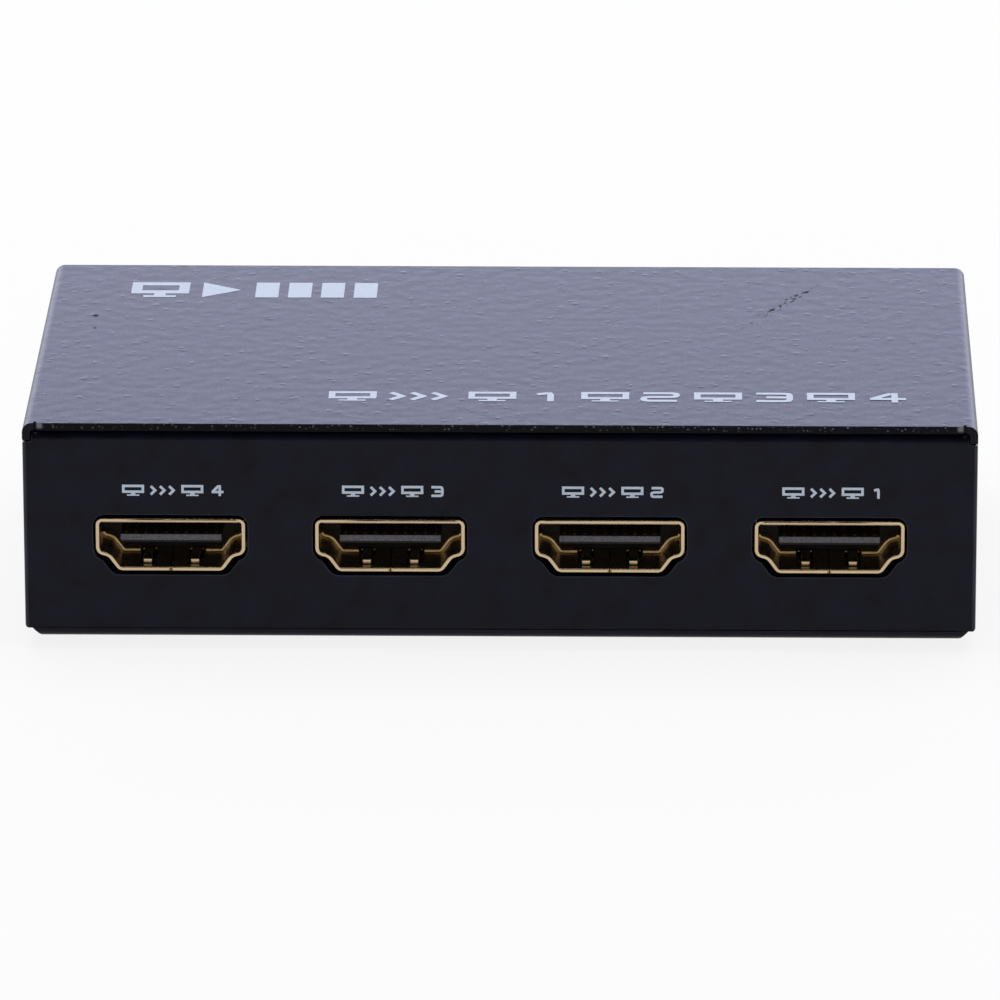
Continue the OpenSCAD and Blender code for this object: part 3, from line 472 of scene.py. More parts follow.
# Black nylon, moulded: a soft sheen over a fine spark-eroded texture.
black_nylon = grained("moulded_black_nylon", "131315", "1C1C1F", 0.15, (0.38, 0.5), depth=0.006)

# Tinned brass: pale and soft, with the slow ripple of dipped solder.
tinned = grained("tinned_brass", "B9B8B2", "D3D2CC", 0.7, (0.2, 0.34), depth=0.02, metal=1.0)

dressed("dc_jack_body", "inlet_housing", 0.15, black_nylon, "black_plastic", steps=3)
dressed("dc_jack_pin", "inlet_centre_pin", 0.08, tinned, "tinned_metal")
painted(tinned, "dc_jack_spring", "dc_jack_shunt")


# Power switch
# A small slide switch: a folded steel frame over a brown phenolic base with three tinned lugs.
# The moulded knob, with a gold wiper under it, slides along a window in the rear panel.

# Brown phenolic paper board: layered and dull, with a darker fibre.
phenolic = grained(
    "brown_phenolic_board", "4A2A16", "6B4022", 0.3, 0.55, detail=3.0, stretch=(0.3, 0.3, 2.0)
)

# Black acetal: waxy and a little grey on its ribs, where fingers polish it.
acetal = grained("waxy_black_acetal", "1B1B1D", "2A2A2D", 0.4, (0.3, 0.42), depth=0.006)

dressed("switch_base", "switch_phenolic_base", 0.04, phenolic, "brown_board", steps=1)
dressed("switch_frame", "switch_steel_frame", 0.06, zinc, "plated_steel")
dressed("switch_slider", "switch_knob", 0.12, acetal, "slider_black", steps=3, body="slider")
painted(tinned, "switch_lugs")
painted(contact_gold, "switch_wiper")


# Lamps
# Five 3 mm light-emitting diodes behind the rear panel, cast in tinted epoxy: one red for power
# and four green for the outputs, each held level by a black moulded holder on the board.

# Tinted cast epoxy: a glossy, half-clear colour with flow clouds inside.
EPOXY = {"IOR": 1.54, "Transmission Weight": 0.35, "Coat Weight": 0.4}
red_lens = grained("red_cast_epoxy", "8E0F10", "C22A22", 1.2, 0.12, more=EPOXY)
green_lens = grained("green_cast_epoxy", "1E7A2E", "4FB254", 1.2, 0.12, more=EPOXY)

dressed("lamp_holders", "lamp_holder_blocks", 0.1, black_nylon, "black_plastic")
for node, lamp, finish in (("power_lamp", "red", red_lens), ("channel_lamps", "green", green_lens)):
    lens = welded(node, lamp + "_epoxy_lamps")
    lens.data.shade_smooth()
    lens.data.set_sharp_from_angle(angle=SHARP)
    fitted(lens, finish, lamp + "_lens", node)
painted(tinned, "lamp_leads")


# Chips and power parts
# The splitter chip under its heat sink, a small memory, the regulator with its inductor, diode
# and three aluminium cans, and the clock crystal; all soldered flat on the board.

# Moulding epoxy: charcoal with a frosty fine grain.
chip_epoxy = grained("charcoal_moulding_epoxy", "1A1A1C", "2B2B2E", 0.12, 0.62, depth=0.008)

# Extruded aluminium: pale metal with die lines along the fins.
extruded = grained(
    "extruded_aluminium", "B4B6BA", "CFD1D3", 0.2, (0.3, 0.42), depth=0.01, stretch=(1, 0.03, 1), metal=1.0
)

# Drawn nickel can: bright, with a faint pull from the die.
drawn_can = grained("drawn_nickel_can", "C2C2C4", "DCDCDC", 0.8, (0.14, 0.24), metal=1.0)

# Sintered ferrite: dark grey, dry and slightly pitted.
ferrite, tree, place = new_finish("sintered_ferrite")
pits = voronoi(tree, place, 0.25)["Distance"]
shade(tree, two_tone(tree, pits, "34343A", "4A4A50"), 0.7, bump(tree, pits, 0.02 * MM))

# Silicone thermal pad: pale blue-grey, soft and slightly tacky, filled with fine white powder.
gap_pad = grained("filled_silicone_pad", "8A98AC", "A5B2C3", 0.1, 0.75)

for node, name, roll_mm, finish, slot in (
    ("splitter_chip", "splitter_chip_body", 0.12, chip_epoxy, "chip_black"),
    ("memory_chip", "memory_chip_body", 0.1, chip_epoxy, "chip_black"),
    ("regulator_body", "regulator_chip_body", 0.12, chip_epoxy, "chip_black"),
    ("input_diode", "diode_body", 0.15, chip_epoxy, "chip_black"),
    ("thermal_pad", "soft_thermal_pad", 0.1, gap_pad, "pad_blue"),
    ("heat_sink", "finned_heat_sink", 0.12, extruded, "aluminium"),
    ("capacitor_cans", "capacitor_aluminium_cans", 0.4, extruded, "aluminium"),
    ("capacitor_bases", "capacitor_moulded_bases", 0.15, black_nylon, "black_plastic"),
    ("crystal", "crystal_can", 0.35, drawn_can, "bright_can"),
    ("power_inductor", "inductor_block", 0.3, ferrite, "ferrite"),
):
    dressed(node, name, roll_mm, finish, slot, steps=3)
painted(tinned, "splitter_leads", "memory_leads", "regulator_leads")


# Small chips
# Rows of resistors and surge arrays behind each output and of ceramic capacitors by the heat sink.
# Each is a fired body with a tinned cap wrapped round both ends, soldered to the board.

CAP_SHARE = 0.22
CAP_SWELL = 1.04
CAP_CHAMFER = 0.05 * MM
BODY_SHARE = 0.94
BODY_LIFT = 0.02 * MM
BODY_CHAMFER = 0.04 * MM
OUTPUT_PITCH = (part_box("output_1_shell")[0].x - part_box("output_4_shell")[0].x) / 3

# Fired ceramic: tan, slightly translucent and speckled.
ceramic = grained("fired_tan_ceramic", "8C6D4C", "A98A66", 0.15, 0.5)


def layout_tree(name, **kinds):
    """A Geometry Nodes tree with named inputs of each kind, those inputs, and their identifiers."""
    group = bpy.data.node_groups.new(name, "GeometryNodeTree")
    group.interface.new_socket("Mesh", in_out="OUTPUT", socket_type="NodeSocketGeometry")
    keys = {}
    for kind, labels in kinds.items():
        for label in labels:
            made = group.interface.new_socket(label, in_out="INPUT", socket_type="NodeSocket" + kind)
            keys[label] = made.identifier
    return group, add(group, "NodeGroupInput").outputs, keys


def set_on(group, points, piece, finish, **turn):
    """Copies of a piece on points, made solid and given a finish."""
    shape = add(group, "GeometryNodeObjectInfo", {"Object": piece}).outputs["Geometry"]
    where = {"Points": points, "Instance": shape, **turn}
    laid = add(group, "GeometryNodeInstanceOnPoints", where).outputs[0]
    solid = add(group, "GeometryNodeRealizeInstances", {"Geometry": laid}).outputs[0]
    return add(group, "GeometryNodeSetMaterial", {"Geometry": solid, "Material": finish}).outputs[0]


def grown(name, group, keys, values):
    """A new piece whose mesh is what the tree makes of those inputs."""
    piece = bpy.data.objects.new(name, bpy.data.meshes.new(name))
    bpy.context.scene.collection.objects.link(piece)
    maker = piece.modifiers.new("maker", "NODES")
    maker.node_group = group
    for label, value in values.items():
        maker[keys[label]] = value
    return settled(piece)


chip_rows, given, chip_keys = layout_tree(
    "chip_rows",
    Int=("Groups", "Count"),
    Vector=("Group Step", "Step", "Start"),
    Object=("Body", "Caps"),
    Material=("Body Finish", "Cap Finish"),
)
line = {"Count": given["Groups"], "Start Location": given["Start"], "Offset": given["Group Step"]}
groups = add(chip_rows, "GeometryNodeMeshLine", line).outputs[0]
row = add(chip_rows, "GeometryNodeMeshLine", {"Count": given["Count"], "Offset": given["Step"]}).outputs[0]
rows = add(chip_rows, "GeometryNodeInstanceOnPoints", {"Points": groups, "Instance": row}).outputs[0]
points = add(chip_rows, "GeometryNodeRealizeInstances", {"Geometry": rows}).outputs[0]
chip_join = add(chip_rows, "GeometryNodeJoinGeometry")
for part, finish in (("Body", "Body Finish"), ("Caps", "Cap Finish")):
    chip_rows.links.new(set_on(chip_rows, points, given[part], given[finish]), chip_join.inputs[0])
add(chip_rows, "NodeGroupOutput", {0: chip_join.outputs[0]})


def chamfered_block(build, low, high, chamfer):
    """A block with its edges cut, added to a mesh that is being built."""
    place = Matrix.Translation((low + high) / 2) @ Matrix.Diagonal((*(high - low), 1))
    made = bmesh.ops.create_cube(build, size=1, matrix=place)["verts"]
    edges = {e for v in made for e in v.link_edges}
    bmesh.ops.bevel(build, geom=list(edges), offset=chamfer, segments=1, affect="EDGES")


def chip_caps(size, long_axis):
    """The two caps round a chip's ends, standing on the origin."""
    build = bmesh.new()
    half = Vector((size.x / 2, size.y / 2, 0))
    for end in (-1, 1):
        low = -half * CAP_SWELL
        high = Vector((half.x, half.y, size.z)) * CAP_SWELL
        inner = high if end < 0 else low
        inner[long_axis] = end * half[long_axis] * (1 - 2 * CAP_SHARE)
        chamfered_block(build, low, high, CAP_CHAMFER)
    return new_piece(build, "chip_caps")


def chip_body(size, long_axis):
    """One chip's body, standing on the origin."""
    build = bmesh.new()
    low = Vector((-size.x / 2, -size.y / 2, BODY_LIFT))
    high = Vector((size.x / 2, size.y / 2, size.z))
    low[long_axis] *= BODY_SHARE
    high[long_axis] *= BODY_SHARE
    chamfered_block(build, low, high, BODY_CHAMFER)
    return new_piece(build, "chip_body")


board_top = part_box("circuit_board")[1].z
for node, size, long_axis, count, step, group_count, group_step, finish, slot in (
    ("chip_resistors", (0.8, 1.6, 0.44), 1, 8, (1.3, 0, 0), 4, OUTPUT_PITCH, chip_epoxy, "chip_black"),
    ("surge_arrays", (2.5, 1.0, 0.6), 0, 2, (4.8, 0, 0), 4, OUTPUT_PITCH, chip_epoxy, "chip_black"),
    ("chip_capacitors", (1.6, 0.8, 0.8), 0, 6, (0, 2.2, 0), 2, None, ceramic, "ceramic_tan"),
):
    size = Vector(size) * MM
    low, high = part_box(node)
    body = chip_body(size, long_axis)
    caps = chip_caps(size, long_axis)
    layout = {
        "Groups": group_count,
        "Group Step": (group_step or high.x - low.x - size.x, 0, 0),
        "Count": count,
        "Step": tuple(Vector(step) * MM),
        "Start": (low.x + size.x / 2, low.y + size.y / 2, board_top),
        "Body": body,
        "Caps": caps,
        "Body Finish": finish,
        "Cap Finish": tinned,
    }
    chips = grown("tinned_" + node, chip_rows, chip_keys, layout)
    bpy.data.objects.remove(body)
    bpy.data.objects.remove(caps)
    fitted(chips, None, slot, node)


# Top cover
# The upside-down U that closes the top and both sides: one strip of the same steel sheet,
# folded twice, powder coated like the tray and screwed to its side flanges.

SLIT_IN = 1.6 * MM
SLIT_OUT = 1.12 * MM
SLIT_END = 0.7 * MM
HEAD_R = 2.75 * MM
RIM_R = HEAD_R + 0.1 * MM
RIM_DEEP = 0.05 * MM
SCRAPE_AT = (-28.4 * MM, -13.4 * MM, 0)
SCRAPE_TURN = math.radians(-61)
CHIPS = ((-42.26 * MM, 9.06 * MM, 0.55 * MM), (-42.08 * MM, 4.81 * MM, 0.36 * MM))
# Heights over which the edge's flecks fade out towards its lower half.
FLECKS_FROM, FLECKS_TO = 23.05 * MM, 23.3 * MM
CORNER_FLECK = 45.75 * MM
cover_low, cover_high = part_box("top_cover")
screws_low, screws_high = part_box("cover_screws")
screw_y = screws_high.y - HEAD_R
screw_z = (screws_low.z + screws_high.z) / 2


def scuffs(tree, place):
    """How dull the coat is, from 0 to 1: a scrape of thin broken strokes, and two small chips."""
    middle = add(tree, "ShaderNodeMapping", {"Vector": place, "Location": SCRAPE_AT}).outputs[0]
    turned = add(tree, "ShaderNodeVectorRotate", {"Vector": middle, "Angle": SCRAPE_TURN}).outputs[0]
    axes = add(tree, "ShaderNodeSeparateXYZ", {"Vector": turned}).outputs
    along = maths(tree, "ABSOLUTE", axes[0])
    across = maths(tree, "ABSOLUTE", axes[1])
    ends = between(tree, along, 7.5 * MM, 9.5 * MM, 1.0, 0.0)
    core = between(tree, across, 0.3 * MM, 1.2 * MM, 1.0, 0.7)
    side = between(tree, across, 1.0 * MM, 1.2 * MM, 1.0, 0.0)
    drawn = stretched(tree, turned, (0.45, 1.0, 1.0))
    bunched = maths(tree, "MULTIPLY", noise(tree, drawn, 2.2), 0.8)
    broken = maths(tree, "ADD", noise(tree, drawn, 0.36, detail=3.0), bunched)
    strokes = between(tree, maths(tree, "MULTIPLY", broken, core), 0.98, 1.04, 0.0, 0.8)
    worn = maths(tree, "MULTIPLY", maths(tree, "MULTIPLY", ends, side), strokes)
    ragged = noise(tree, place, 0.4)
    for x, y, radius in CHIPS:
        spot = add(tree, "ShaderNodeVectorMath", {0: place, 1: (x, y, cover_high.z)}, operation="DISTANCE")
        edge = maths(tree, "ADD", spot.outputs[1], maths(tree, "MULTIPLY", ragged, radius))
        worn = maths(tree, "MAXIMUM", worn, between(tree, edge, radius, radius * 1.2, 1.0, 0.0))
    return worn


# The tray's coat again, dulled where the cover has been scraped and chipped.
cover_coat = powder_coat("scuffed_black_powder_coat", "070811", "0F0F22", wear=scuffs)

# Sheared edge under thin paint: small bare flecks on its upper half, one larger at each corner where the
# slit starts; they fade out towards the lower half, which stays black.
sheared_edge, tree, place = new_finish("sheared_painted_edge")
axes = add(tree, "ShaderNodeSeparateXYZ", {"Vector": place}).outputs
flecked_band = between(tree, axes[2], FLECKS_FROM, FLECKS_TO, 0.0, 1.0)
specks = voronoi(tree, place, 0.36)
chance = add(tree, "ShaderNodeSeparateColor", {0: specks["Color"]}).outputs[0]
fleck = between(tree, specks["Distance"], 0.1, 0.34, 1.0, 0.0)
fleck = maths(tree, "MULTIPLY", fleck, between(tree, chance, 0.1, 1.0, 0.0, 1.0))
from_fleck = maths(tree, "SUBTRACT", maths(tree, "ABSOLUTE", axes[0]), CORNER_FLECK)
from_fleck = maths(tree, "ABSOLUTE", from_fleck)
fleck = maths(tree, "MAXIMUM", fleck, between(tree, from_fleck, 0.15 * MM, 0.4 * MM, 0.9, 0.0))
tone = two_tone(tree, maths(tree, "MULTIPLY", fleck, flecked_band), "121217", "7C7C82")
tear = noise(tree, place, 0.5, detail=3.0)
shade(tree, tone, spread(tree, tear, 0.35, 0.6), bump(tree, tear, 0.06 * MM), specular=0.05)


def cover_roll(middle):
    """Paint rolls over every edge but those of the slits at the front and of the countersinks' rims."""
    from_side = cover_high.x - abs(middle.x)
    slit = SLIT_OUT < from_side < SLIT_IN and middle.y - cover_low.y < SLIT_END
    from_screw = math.hypot(abs(middle.y) - screw_y, middle.z - screw_z)
    rim = from_side < RIM_DEEP and from_screw < RIM_R
    return 0.0 if slit or rim else 1.0


cover = welded("top_cover", "folded_cover", cover_coat, edge_highlight_coat, sheared_edge)
# The cover's rolled edges and bends take the lighter edge coat, a painted highlight.
cover = rolled(cover, PAINT_ROLL, share=cover_roll, edge_slot=1)
# The front strips outside the slits face the way the panel does and are painted as well as it is.
for face in cover.data.polygons:
    outside_slit = abs(face.center.x) > cover_high.x - SLIT_OUT
    if abs(face.normal.y) > FACING and abs(face.center.y) > cover_high.y - TOUCH:
        face.material_index = 0 if outside_slit else 2
fitted(cover, None, "black_paint", "top_cover")


# Cover screws
# Four M3 countersunk screws, black zinc over steel, flush in the cover's dimples
# and driven into the clinch nuts of the side flanges.

SHANK_R = 1.45 * MM
SCREW_LEN = 3.72 * MM
TIP_CUT = 0.2 * MM
# How far the head's soft rim lies inside its full radius, and how deep, from the face to the cone.
HEAD_RIM = ((0.16 * MM, 0.0), (0.05 * MM, 0.03 * MM), (0.02 * MM, 0.09 * MM))
CROSS_REACH = 1.5 * MM
CROSS_HALF = 0.34 * MM
# The cross from its mouth to its sole: shares of its reach and of its half width, and depth.
CROSS_STEPS = ((1.0, 1.0, 0.0), (0.96, 0.9, 0.06 * MM), (0.55, 0.62, 0.72 * MM))
ROUND = 48

# Black zinc: a dark, oily sheen over a cloudy plate.
black_zinc = grained(
    "black_zinc_plate", "26262A", "3E3E43", 0.6, (0.3, 0.45), detail=3.0, depth=0.008, metal=1.0
)


def ring(build, radius, level, upright=False):
    """A ring of corners about the X axis, or about the Z axis if it is upright."""
    corners = []
    for i in range(ROUND):
        turn = 2 * math.pi * i / ROUND
        a, b = radius * math.cos(turn), radius * math.sin(turn)
        corners.append(build.verts.new((a, b, level) if upright else (level, a, b)))
    return corners


def bridge(build, loops):
    """Bands of faces from each loop of corners to the next, and a face across the last."""
    for first, second in zip(loops, loops[1:]):
        for i in range(len(first)):
            build.faces.new((first[i - 1], first[i], second[i], second[i - 1]))
    build.faces.new(loops[-1])


def cross_loop(build, reach, half, x):
    """The twelve corners of a cross in the plane at x."""
    flat = [(reach, -half), (reach, half), (half, half)]
    corners = []
    for quarter in range(4):
        turn = Matrix.Rotation(quarter * math.pi / 2, 2)
        corners += [turn @ Vector(p) for p in flat]
    return [build.verts.new((x, p.x, p.y)) for p in corners]


def turned_master(build, name, sharp):
    """Ends a turned shape: normals outward and smooth, but for edges past the sharp angle."""
    bmesh.ops.recalc_face_normals(build, faces=build.faces)
    master = new_piece(build, name)
    master.data.shade_smooth()
    master.data.set_sharp_from_angle(angle=sharp)
    return master


build = bmesh.new()
outline = [(HEAD_R - inset, -deep) for inset, deep in HEAD_RIM]
outline += [(SHANK_R, SHANK_R - HEAD_R), (SHANK_R, TIP_CUT - SCREW_LEN), (SHANK_R - TIP_CUT, -SCREW_LEN)]
rims = [ring(build, radius, x) for radius, x in outline]
bridge(build, rims)
crosses = [cross_loop(build, CROSS_REACH * a, CROSS_HALF * b, -deep) for a, b, deep in CROSS_STEPS]
bridge(build, crosses)
edges = [build.edges.get(pair) for loop in (rims[0], crosses[0]) for pair in zip(loop, loop[-1:] + loop)]
bmesh.ops.triangle_fill(build, edges=edges, use_beauty=True, normal=(1, 0, 0))
screw_master = turned_master(build, "screw_master", SHARP)

four_corners, given, corner_keys = layout_tree(
    "four_corners",
    Float=("Size X", "Size Y", "Half Turn"),
    Vector=("Centre",),
    Object=("Piece",),
    Material=("Finish",),
)
grid = {"Size X": given["Size X"], "Size Y": given["Size Y"], "Vertices X": 2, "Vertices Y": 2}
corners = add(four_corners, "GeometryNodeMeshGrid", grid).outputs[0]
moved = {"Geometry": corners, "Translation": given["Centre"]}
corners = add(four_corners, "GeometryNodeTransform", moved).outputs[0]
position = add(four_corners, "GeometryNodeInputPosition").outputs[0]
across = add(four_corners, "ShaderNodeSeparateXYZ", {0: position}).outputs[0]
angle = maths(four_corners, "MULTIPLY", maths(four_corners, "LESS_THAN", across, 0.0), given["Half Turn"])
euler = add(four_corners, "ShaderNodeCombineXYZ", {"Z": angle}).outputs[0]
turn = add(four_corners, "FunctionNodeEulerToRotation", {0: euler}).outputs[0]
copies = set_on(four_corners, corners, given["Piece"], given["Finish"], Rotation=turn)
add(four_corners, "NodeGroupOutput", {0: copies})

layout = {
    "Size X": screws_high.x - screws_low.x,
    "Size Y": 2 * screw_y,
    "Centre": (0.0, 0.0, screw_z),
    "Half Turn": math.pi,
    "Piece": screw_master,
    "Finish": black_zinc,
}
screws = grown("countersunk_cover_screws", four_corners, corner_keys, layout)
bpy.data.objects.remove(screw_master)
fitted(screws, None, "black_paint", "cover_screws")


# Rubber feet
# Four moulded pads stuck under the tray near its corners: a soft rounded rim round a shallow dish,
# so that each stands on its rim.

FOOT_R = 4.0 * MM
FOOT_SHARP = math.radians(60)
# The foot's outline from its root over its rim into the dish, as shares of its radius and height.
RIM_OUTSIDE = ((1.0, 1.0), (0.985, 0.55), (0.965, 0.3), (0.93, 0.12), (0.88, 0.03), (0.82, 0.0))
RIM_INSIDE = ((0.72, 0.0), (0.66, 0.05), (0.55, 0.12), (0.3, 0.15))

# Moulded rubber: dull black with a fine bloom and a little dust in its grain.
foot_rubber = grained(
    "moulded_black_rubber", "101011", "1D1D1E", 0.5, 0.8, detail=4.0, depth=0.02, specular=0.3
)

low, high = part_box("rubber_feet")
build = bmesh.new()
loops = [ring(build, FOOT_R * r, (high.z - low.z) * z, upright=True) for r, z in RIM_OUTSIDE + RIM_INSIDE]
bridge(build, loops)
build.faces.new(loops[0])
foot_master = turned_master(build, "foot_master", FOOT_SHARP)
layout = {
    "Size X": high.x - low.x - 2 * FOOT_R,
    "Size Y": high.y - low.y - 2 * FOOT_R,
    "Centre": (0.0, 0.0, low.z),
    "Half Turn": 0.0,
    "Piece": foot_master,
    "Finish": foot_rubber,
}
feet = grown("moulded_rubber_feet", four_corners, corner_keys, layout)
bpy.data.objects.remove(foot_master)
fitted(feet, None, "rubber", "rubber_feet")


# Printed marks
# Screen-printed ink on the finished paint: plain numerals, arrows and screens over the outputs, a sign
# and a row of the same on the cover, and the usual signs for power, lamps and inlet at the rear.

INK_T = 0.015 * MM
INK_STEP = 0.001 * MM
MITRE = 0.4
SHOULDER = 0.18
CUT_LIMIT = 0.45
STAND = 0.12
BASE_WIDE = 0.56
NECK_WIDE = 0.2
# Numerals as the middles of drawn lines in a unit box: square shoulders, as a stencil cutter draws them.
# An upright that ends at the box's edge runs on past it by half a line.
NUMERALS = {
    "1": [[(0.2, 0.8), (0.6, 1), (0.6, -0.13)]],
    "2": [[(0, 1), (1, 1), (1, 0.52), (0, 0.48), (0, 0), (1, 0)]],
    "3": [[(0, 1), (1, 1), (1, 0), (0, 0)], [(0.3, 0.5), (0.9, 0.5)]],
    "4": [[(0.76, -0.13), (0.76, 1.13)], [(0.66, 1.05), (0.08, 0.34)], [(0.02, 0.34), (1.1, 0.34)]],
}

# Pale screen ink: cool white, matt, slightly starved where the mesh left less of it.
screen_ink = grained(
    "pale_screen_ink", "BFCBDD", "D3DEEC", 0.5, 0.55, detail=3.0, depth=0.004, marks=0.1, specular=0.2
)


def softened(points, cut):
    """A drawn line with its corners cut back, in two steps."""
    line = [Vector(p) for p in points]
    soft = [line[0]]
    for before, corner, after in zip(line, line[1:], line[2:]):
        a, b = before - corner, after - corner
        reach = min(cut, a.length * CUT_LIMIT, b.length * CUT_LIMIT)
        p, q = corner + a.normalized() * reach, corner + b.normalized() * reach
        soft += [p, (p + q) / 4 + corner / 2, q]
    return soft + [line[-1]]


def stroke(points, width, closed=False):
    """Corners and faces of a flat line of that width."""
    line = [Vector(p) for p in points]
    count = len(line)
    left, right = [], []
    for i, p in enumerate(line):
        before = line[i - 1] if closed or i else p
        after = line[(i + 1) % count] if closed or i < count - 1 else p
        ways = [(p - before).normalized(), (after - p).normalized()]
        ways = [way for way in ways if way.length]
        way = sum(ways, Vector((0, 0))).normalized()
        normal = Vector((-way.y, way.x))
        reach = width / 2 / max(MITRE, normal.dot(Vector((-ways[0].y, ways[0].x))))
        left.append(p + normal * reach)
        right.append(p - normal * reach)
    spans = range(count if closed else count - 1)
    faces = [(i, (i + 1) % count, count + (i + 1) % count, count + i) for i in spans]
    return left + right, faces


def filled(points):
    """One flat patch of ink."""
    return [Vector(p) for p in points], [tuple(range(len(points)))]


def oblong(centre, wide, tall):
    """A filled upright block."""
    x, y, w, h = centre[0], centre[1], wide / 2, tall / 2
    return filled([(x - w, y - h), (x + w, y - h), (x + w, y + h), (x - w, y + h)])


def circle(radius, x=0.0, start=0.0, sweep=360, steps=40):
    """Points round a circle at x, or along an arc from an angle over a sweep, both in degrees."""
    turns = [math.radians(start + sweep * i / steps) for i in range(steps + (sweep < 360))]
    return [(x + radius * math.cos(t), radius * math.sin(t)) for t in turns]


def numeral(sign, x, wide, tall, width):
    """The strokes of one numeral, centred at x."""
    made = []
    for line in NUMERALS[sign]:
        placed = [(x + (a - 0.5) * (wide - width), (b - 0.5) * (tall - width)) for a, b in line]
        made.append(stroke(softened(placed, SHOULDER * tall), width))
    return made


def screen(x, wide, tall, width):
    """The outline of a flat screen on a low stand, centred at x."""
    w, stand = (wide - width) / 2, STAND * tall
    top, low = (tall - width) / 2, stand - tall / 2 + 1.1 * width
    outline = stroke([(x - w, low), (x + w, low), (x + w, top), (x - w, top)], width, closed=True)
    neck = oblong((x, stand - tall / 2 + 0.3 * width), NECK_WIDE * wide, 0.8 * width)
    base = oblong((x, (stand - tall) / 2), BASE_WIDE * wide, stand)
    return [outline, neck, base]


def chevrons(x, pitch, tall, width):
    """Three arrow heads that point to the right, centred at x."""
    h = tall / 2
    tips = [x + k * pitch for k in (-1, 0, 1)]
    return [stroke([(tip - h / 2, h), (tip + h / 2, 0), (tip - h / 2, -h)], width) for tip in tips]


def printed(name, shapes, origin, across, up):
    """Prints flat shapes, given in millimetres, on the plane through origin, one pass over another."""
    build = bmesh.new()
    out = across.cross(up)
    for layer, (corners, faces) in enumerate(shapes):
        lift = out * (INK_T + layer * INK_STEP)
        made = [build.verts.new(origin + (across * p[0] + up * p[1]) * MM + lift) for p in corners]
        for face in faces:
            build.faces.new([made[i] for i in face])
    for face in build.faces:
        face.normal_update()
        if face.normal.dot(out) < 0:
            face.normal_flip()
    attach(new_piece(build, name, screen_ink), "case")


def middle_x(node):
    """The middle of a CAD node across the box."""
    low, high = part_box(node)
    return (low.x + high.x) / 2


RIGHT, LEFT = Vector((1, 0, 0)), Vector((-1, 0, 0))
BACK, UP = Vector((0, 1, 0)), Vector((0, 0, 1))

LABEL_Z = 16.73 * MM
LABEL_SHIFT = 0.3 * MM
LABEL_TALL, LABEL_LINE, LABEL_SCREEN, LABEL_NUMERAL = 1.16, 0.26, 2.2, 1.35
LABEL_ARROW, LABEL_ARROW_STEP = 0.88, 0.92
for n in range(1, 5):
    label = screen(-3.95, LABEL_SCREEN, LABEL_TALL, LABEL_LINE)
    label += chevrons(-1.05, LABEL_ARROW_STEP, LABEL_ARROW, LABEL_LINE)
    label += screen(1.95, LABEL_SCREEN, LABEL_TALL, LABEL_LINE)
    label += numeral(str(n), 4.4, LABEL_NUMERAL, LABEL_TALL, LABEL_LINE)
    spot = Vector((middle_x(f"output_{n}_shell") + LABEL_SHIFT, tray_low.y, LABEL_Z))
    printed(f"output_{n}_mark", label, spot, RIGHT, UP)

SIGN_AT = Vector((-39.05 * MM, 18.15 * MM, cover_high.z))
SIGN_TALL, SIGN_LINE, SIGN_SCREEN, BAR_WIDE, BAR_STEP = 5.2, 1.1, 6.0, 2.4, 3.4
sign = screen(SIGN_SCREEN / 2, SIGN_SCREEN, SIGN_TALL, SIGN_LINE)
sign.append(filled([(7.4, SIGN_TALL / 2), (7.4, -SIGN_TALL / 2), (11.4, 0)]))
sign += [oblong((14.1 + BAR_STEP * k, 0), BAR_WIDE, SIGN_TALL) for k in range(4)]
printed("one_to_four_sign", sign, SIGN_AT, RIGHT, BACK)

ROW_AT = Vector((-17.3 * MM, -17.75 * MM, cover_high.z))
ROW_TALL, ROW_LINE, ROW_SCREEN, ROW_NUMERAL, ROW_STEP = 3.1, 0.66, 4.8, 4.0, 11.3
ROW_ARROW, ROW_ARROW_STEP = 2.3, 2.1
row = screen(ROW_SCREEN / 2, ROW_SCREEN, ROW_TALL, ROW_LINE)
row += chevrons(8.9, ROW_ARROW_STEP, ROW_ARROW, ROW_LINE)
for k in range(4):
    row += screen(16.4 + ROW_STEP * k, ROW_SCREEN, ROW_TALL, ROW_LINE)
    row += numeral(str(k + 1), 21.9 + ROW_STEP * k, ROW_NUMERAL, ROW_TALL, ROW_LINE)
printed("numeral_row", row, ROW_AT, RIGHT, BACK)

LAMP_MARK_Z, SWITCH_MARK_Z, INLET_MARK_Z = 15.4 * MM, 14.9 * MM, 20.2 * MM
POWER_LINE, POLARITY_LINE = 0.22, 0.2
lamp_low, lamp_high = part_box("channel_lamps")
power_low, power_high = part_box("power_lamp")
lamp_pitch = (lamp_high.x - lamp_low.x - (power_high.x - power_low.x)) / 3
spot = Vector((middle_x("power_lamp"), tray_high.y, LAMP_MARK_Z))
power_ring = circle(0.62, start=125, sweep=290, steps=28)
power_sign = [stroke(power_ring, POWER_LINE), stroke([(0, 0.1), (0, 0.85)], POWER_LINE)]
printed("power_sign", power_sign, spot, LEFT, UP)
for n in range(1, 5):
    mark = numeral(str(n), x=0, wide=1.4, tall=1.3, width=0.28)
    printed(f"lamp_{n}_mark", mark, spot + LEFT * lamp_pitch * n, LEFT, UP)

spot = Vector((middle_x("input_shell"), tray_high.y, LAMP_MARK_Z))
arrow = [stroke([(0, 2.6), (0, 1.3)], 0.34), filled([(0.65, 1.3), (-0.65, 1.3), (0, 0)])]
printed("input_mark", arrow, spot, LEFT, UP)

spot = Vector((middle_x("switch_frame"), tray_high.y, SWITCH_MARK_Z))
on_off = [stroke(circle(0.5, 1.5), 0.24, closed=True), stroke([(-1.5, -0.62), (-1.5, 0.62)], 0.26)]
printed("switch_mark", on_off, spot, LEFT, UP)

